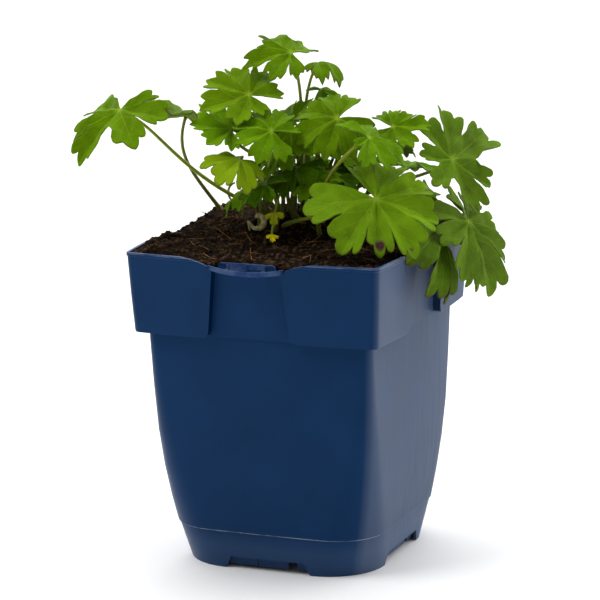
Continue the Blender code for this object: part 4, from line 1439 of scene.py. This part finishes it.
    def build(self, finishes: Sequence[bpy.types.Material]) -> bpy.types.Object:
        """Build the pot: shell, collar, pockets, floor, skirt, hub, holes and notches.

        Args:
            finishes: the plastic of the walls, a darker copy for the recesses' side walls as painted shade,
                and a paler copy for the pockets' lips and the rim's top as a painted highlight.

        Returns:
            The piece.
        """
        foot, top = self.collar[0][0], self.height
        pot = self.walls(self.body, 0.0, foot + 1.5, 0.0)
        self.combine(pot, [self.walls(self.collar, foot, top, 0.0)], "UNION")
        self.combine(pot, self.four(self.recess), "DIFFERENCE")
        inner = self.walls(self.body, self.floor_z + self.wall, foot + self.wall + 1.0, self.wall)
        upper = self.walls(self.collar, foot + self.wall, top + 4.0, self.wall)
        self.combine(upper, self.four(lambda: self.block(self.wall)), "DIFFERENCE")
        self.combine(pot, [self.combine(inner, [upper], "UNION")], "DIFFERENCE")
        self.combine(pot, self.four(self.tab_cut), "DIFFERENCE")
        under = self.walls(self.body, -1.0, self.floor_z, self.wall)
        skirt = self.walls(self.body, self.skirt_z, self.floor_z + 1.0, self.skirt_in)
        hollow = self.walls(self.body, -2.0, self.floor_z + 2.0, self.skirt_in + self.wall)
        self.combine(skirt, [hollow], "DIFFERENCE")
        for near, far in self.slits:
            gaps = self.four(lambda: self.box((near, -60.0, -1.0), (far, -30.0, self.floor_z)), False)
            self.combine(skirt, gaps, "DIFFERENCE")
        hub = self.post((0, 0), self.hub_r, -2.0, self.floor_z + 2.0)
        self.combine(under, [skirt, hub], "DIFFERENCE")
        holes = []
        for turn in range(8):
            a = turn * math.pi / 4
            away = self.drain_corner * math.sqrt(2) if turn % 2 else self.drain_side
            spot = (away * math.cos(a), away * math.sin(a))
            holes.append(self.post(spot, self.drain_r, -5.0, self.floor_z + 5.0))
        narrow, wide, high = self.notch
        slope = (wide - narrow) / high
        outline = [(wide + slope, -1.0), (narrow, high), (-narrow, high), (-wide - slope, -1.0)]
        holes += self.four(lambda: self.prism(outline, *self.notch_y), False)
        self.combine(pot, [under] + holes, "DIFFERENCE")
        added = self.four(self.lip)
        low = self.lip_z - self.lip_h + 0.3
        half = self.rib_half
        wall = self.recess_depth(self.lip_z) + 0.6
        for rib in self.ribs_x:
            x = rib + self.tab_aside
            for near, base, high in ((-self.lip_y - 0.4, low, self.lip_z + 0.1),
                                     (wall - 1.5, low + 0.2, self.tab_top - 0.5)):
                added += self.four(lambda: self.box((x - half, near, base), (x + half, wall, high)))
        self.combine(pot, added, "UNION")
        return self.dress(pot, finishes)

    def finish_of(self, face: bpy.types.MeshPolygon) -> int:
        """Finish of a face: 1 on a recess's side walls, 2 on a pocket's lip and the rim, otherwise 0."""
        for turn in range(4):
            back = Matrix.Rotation(-turn * math.pi / 2, 3, "Z")
            spot, normal = back @ face.center / MM, back @ face.normal
            if spot.y < -abs(spot.x):
                break
        # Finish 1, the darker copy, is painted shade; finish 2, the paler copy, is a painted highlight.
        inside = abs(spot.x - self.recess_aside) < self.recess_top + 0.3
        if inside and spot.y < self.lip_front and spot.z > self.lip_z - self.lip_h - 0.1:
            return 2
        if normal.z > self.steep and spot.z > self.lip_z:
            return 2
        near = abs(spot.x) < self.recess_reach and spot.y < -self.recess_y[0]
        return int(near and abs(normal.x) > self.steep and self.collar[0][0] < spot.z < self.height)

    def dress(self, pot: bpy.types.Object, finishes: Sequence[bpy.types.Material]) -> bpy.types.Object:
        """Smooth the pot between its creases and give it its plastic."""
        pot.data.materials.clear()
        for finish in finishes:
            pot.data.materials.append(finish)
        pot.data.polygons.foreach_set("material_index", [self.finish_of(p) for p in pot.data.polygons])
        pot.data.polygons.foreach_set("use_smooth", [True] * len(pot.data.polygons))
        pot.data.set_sharp_from_angle(angle=math.radians(self.crease_deg))
        modifier = pot.modifiers.new("smooth_faces", "WEIGHTED_NORMAL")
        modifier.mode = "FACE_AREA_WITH_ANGLE"
        modifier.keep_sharp = True
        self.settle(pot)
        pot.name = "pot_shell"
        return carry(pot, "blue_plastic", "pot")


# Studio

@dataclass
class Studio:
    """Pale floor, soft light, and the camera where the photographer stood.

    The camera's values come from a separate fit to the pot's edges in the photograph.
    """

    azimuth: float = 22.541
    elevation: float = 12.576
    distance: float = 1308.57
    focal_px: float = 3100.48
    frame_px: float = 600.0
    aside: float = -0.994
    height: float = 106.882
    roll: float = -1.075
    floor_mm: float = 6000.0
    aim: tuple = (0.0, 0.0, 0.12)
    lights: tuple = (("key", (-0.7, -0.7, 1.5), 0.8, 13.0), ("top", (0.1, 0.3, 1.6), 1.2, 5.0))
    glow_span: tuple = (-0.4, 0.7)
    glow: tuple = (0.3, 2.4)

    def camera(self) -> None:
        """Place the camera."""
        a, e = math.radians(self.azimuth), math.radians(self.elevation)
        back = Vector((math.sin(a) * math.cos(e), -math.cos(a) * math.cos(e), math.sin(e)))
        right = (-back).cross(Vector((0, 0, 1))).normalized()
        up = right.cross(-back)
        spot = right * self.aside + Vector((0, 0, self.height)) + back * self.distance
        c, s = math.cos(math.radians(self.roll)), math.sin(math.radians(self.roll))
        turn = Matrix((right * c + up * s, up * c - right * s, back)).transposed().to_4x4()
        turn.translation = spot * MM
        lens = bpy.data.cameras.new("camera")
        lens.sensor_width = 36.0
        lens.lens = self.focal_px / self.frame_px * lens.sensor_width
        lens.clip_end = 10.0
        camera = link("camera", lens)
        camera.matrix_world = turn
        bpy.context.scene.camera = camera

    def light(self, name: str, spot: tuple, size: float, power: float) -> None:
        """Add one soft square light.

        Args:
            name: its name.
            spot: where it stands, in metres.
            size: its side.
            power: its power in watts.
        """
        lamp = bpy.data.lights.new(name, "AREA")
        lamp.shape = "SQUARE"
        lamp.size = size
        lamp.energy = power
        made = link(name, lamp)
        made.location = spot
        made.rotation_euler = (Vector(self.aim) - Vector(spot)).to_track_quat("-Z", "Y").to_euler()

    def build(self) -> None:
        """Set up floor, light, world and camera."""
        scene = bpy.context.scene
        scene.view_settings.view_transform = "Standard"
        # Seamless paper is matte and nearly white, so the plant stands alone.
        made, shader = new_material("studio_paper", Roughness=0.9)
        shader.inputs["Base Color"].default_value = linear("#f4f4f4")
        w = self.floor_mm
        floor = mesh_object("floor", [(-w, -w, 0), (w, -w, 0), (w, w, 0), (-w, w, 0)], [(0, 1, 2, 3)], (made,))
        world = bpy.data.worlds.new("studio")
        scene.world = world
        world.use_nodes = True
        tree = world.node_tree
        tree.nodes["Background"].inputs["Color"].default_value = linear("#ffffff")
        # A lit backdrop behind the plant and a dim room in front of it.
        way = add_node(tree, "ShaderNodeTexCoord").outputs["Generated"]
        split = add_node(tree, "ShaderNodeSeparateXYZ", {0: way})
        glow = add_node(tree, RANGE, {
            "Value": split.outputs["Y"], "From Min": self.glow_span[0], "From Max": self.glow_span[1],
            "To Min": self.glow[0], "To Max": self.glow[1]}, interpolation_type="SMOOTHSTEP")
        wire(tree.nodes["Background"], Strength=glow)
        for name, spot, size, power in self.lights:
            self.light(name, spot, size, power)
        self.camera()


def build_pot() -> None:
    """Build the pot with the plastics of its walls, recess sides in painted shade and lips in a painted
    highlight.
    """
    # The recesses' side walls get a darker copy of the plastic with no sheen or specular, as painted shade.
    # The lips and the rim's top get a paler copy, as a painted highlight.
    plastics = (
        MouldedPolypropylene(),
        MouldedPolypropylene(name="recess_side_polypropylene", colour="#05264a", deep="#021936", sheen=0.0,
                             specular=0.0),
        MouldedPolypropylene(name="painted_highlight_lip_polypropylene", colour="#183a6c", deep="#112c5a", rim=0.12,
                             rim_mm=131.0, rim_reach_mm=4.5, sheen=0.06, specular=0.03, painted_sheen_share=0.0))
    NurseryPot().build([plastic.material() for plastic in plastics])


def build_compost() -> bpy.types.NodeTree:
    """Build the compost, its crumbs and its straws, and return the scatter tree for the hairs."""
    compost = Compost()
    # Moist compost looks almost black, its crumbs catch the light in dull browns, and dry straws stand out.
    peat = GroundMatter("moist_potting_compost", "#0a0705", "#2b1f14", 4.0)
    _, bed = compost.build(peat.material())
    tree = scatter_tree()
    grit = GroundMatter("compost_crumbs", "#0b0806", "#5a4430", 6.0)
    Scatter("compost_crumbs", 0.17e6, 0.5, 2.4, 0.8, 4).build(
        tree, bed, [compost.crumb(k) for k in range(6)], grit.material(), "compost")
    dry = GroundMatter("dry_straw_fibre", "#5e3c1c", "#c9985c", 3.0, 0.8, 0.2)
    Scatter("compost_straws", 0.011e6, 0.35, 1.25, 0.22, 9).build(
        tree, bed, [compost.straw(k) for k in range(8)], dry.material(), "compost")
    bpy.data.objects.remove(bed)
    return tree


def build_leaves() -> tuple[list[bpy.types.Object], bpy.types.Material]:
    """Build every leaf, and return them with the stalks' material."""
    skin = LivingLeaf().material()
    stalk = LeafStalk().material()
    # A seedling's leaves are thin and yellow-green, so they shine out in front of the dark stalks.
    seedling = LivingLeaf(name="seedling_leaf", deep="#8b9a12", fresh="#a9b81c", young="#efe01c",
                          vein="#dfe27a").material()
    leaves = []
    for name, plan in LEAVES.items():
        look = LOOKS.get(name, INNER_LOOK if name in INNER else BACK_LOOK)
        own = seedling if name.startswith("shoot") else skin
        leaves.append(CranesbillLeaf(name, plan, look).build(own, stalk))
    for name, plan in young_plans().items():
        leaves.append(CranesbillLeaf(name, plan, YOUNG_LOOK).build(skin, stalk))
    return leaves, stalk


def build_stems(stalk: bpy.types.Material) -> None:
    """Build the looped stem, the seedling's stem and the curled bud."""
    loop = hook((-38, 22, 147), (5.0, 4.5), (290, 110))
    BareStem("looped_stem", ((-36, 22, 135),) + loop, (0.5,) * 7 + (0.4,), (0.5, 0.7, 0.0, 0.0)).build(stalk)
    upper, lower = (Vector(LEAVES[name].heart) for name in ("shoot_01", "shoot_02"))
    BareStem("seedling_stem", (upper + Vector((0, 10, 12)), upper + Vector((0, 3, 4)), upper, lower),
             (0.5, 0.45, 0.42, 0.3), (0.5, 0.1, 0.0, 0.0)).build(stalk)
    # A young bud's skin is papery and pale, so the curl shows against the leaves.
    husk = GroundMatter("young_bud_skin", "#a09a55", "#ead9b0", 1.6, 0.6, 0.2)
    curl = hook((-16, -8.5, 142), (4.5, 1.5), (190, 500))
    swell = tuple(0.4 + math.sin(math.pi * k / (len(curl) - 1)) for k in range(len(curl)))
    BareStem("curled_bud", ((-20, -8, 137),) + curl, (0.4,) + swell).build(husk.material())


def build_hairs(tree: bpy.types.NodeTree, leaves: Sequence[bpy.types.Object]) -> None:
    """Strew fine hairs over stalks and blades."""
    # Pale down softens the outline of stalks and leaves.
    down, pale = Down(), GroundMatter("pale_leaf_down", "#aab68a", "#d8dfc4", 2.0, 0.6, 0.0)
    for name, slot, density in (("stalk_hairs", 1, 1.0e6), ("blade_hairs", 0, 0.12e6)):
        bed = down.bed(leaves, slot)
        Scatter(name, density, 0.5, 1.0, 0.4, 21).build(tree, bed, down.shapes(), pale.material(), "leaf")
        bpy.data.objects.remove(bed)


def main() -> None:
    """Build every piece in order."""
    logging.basicConfig(level=logging.INFO, format="%(message)s")
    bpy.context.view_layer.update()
    Studio().build()
    build_pot()
    tree = build_compost()
    leaves, stalk = build_leaves()
    build_stems(stalk)
    build_hairs(tree, leaves)


if __name__ == "__main__":
    main()
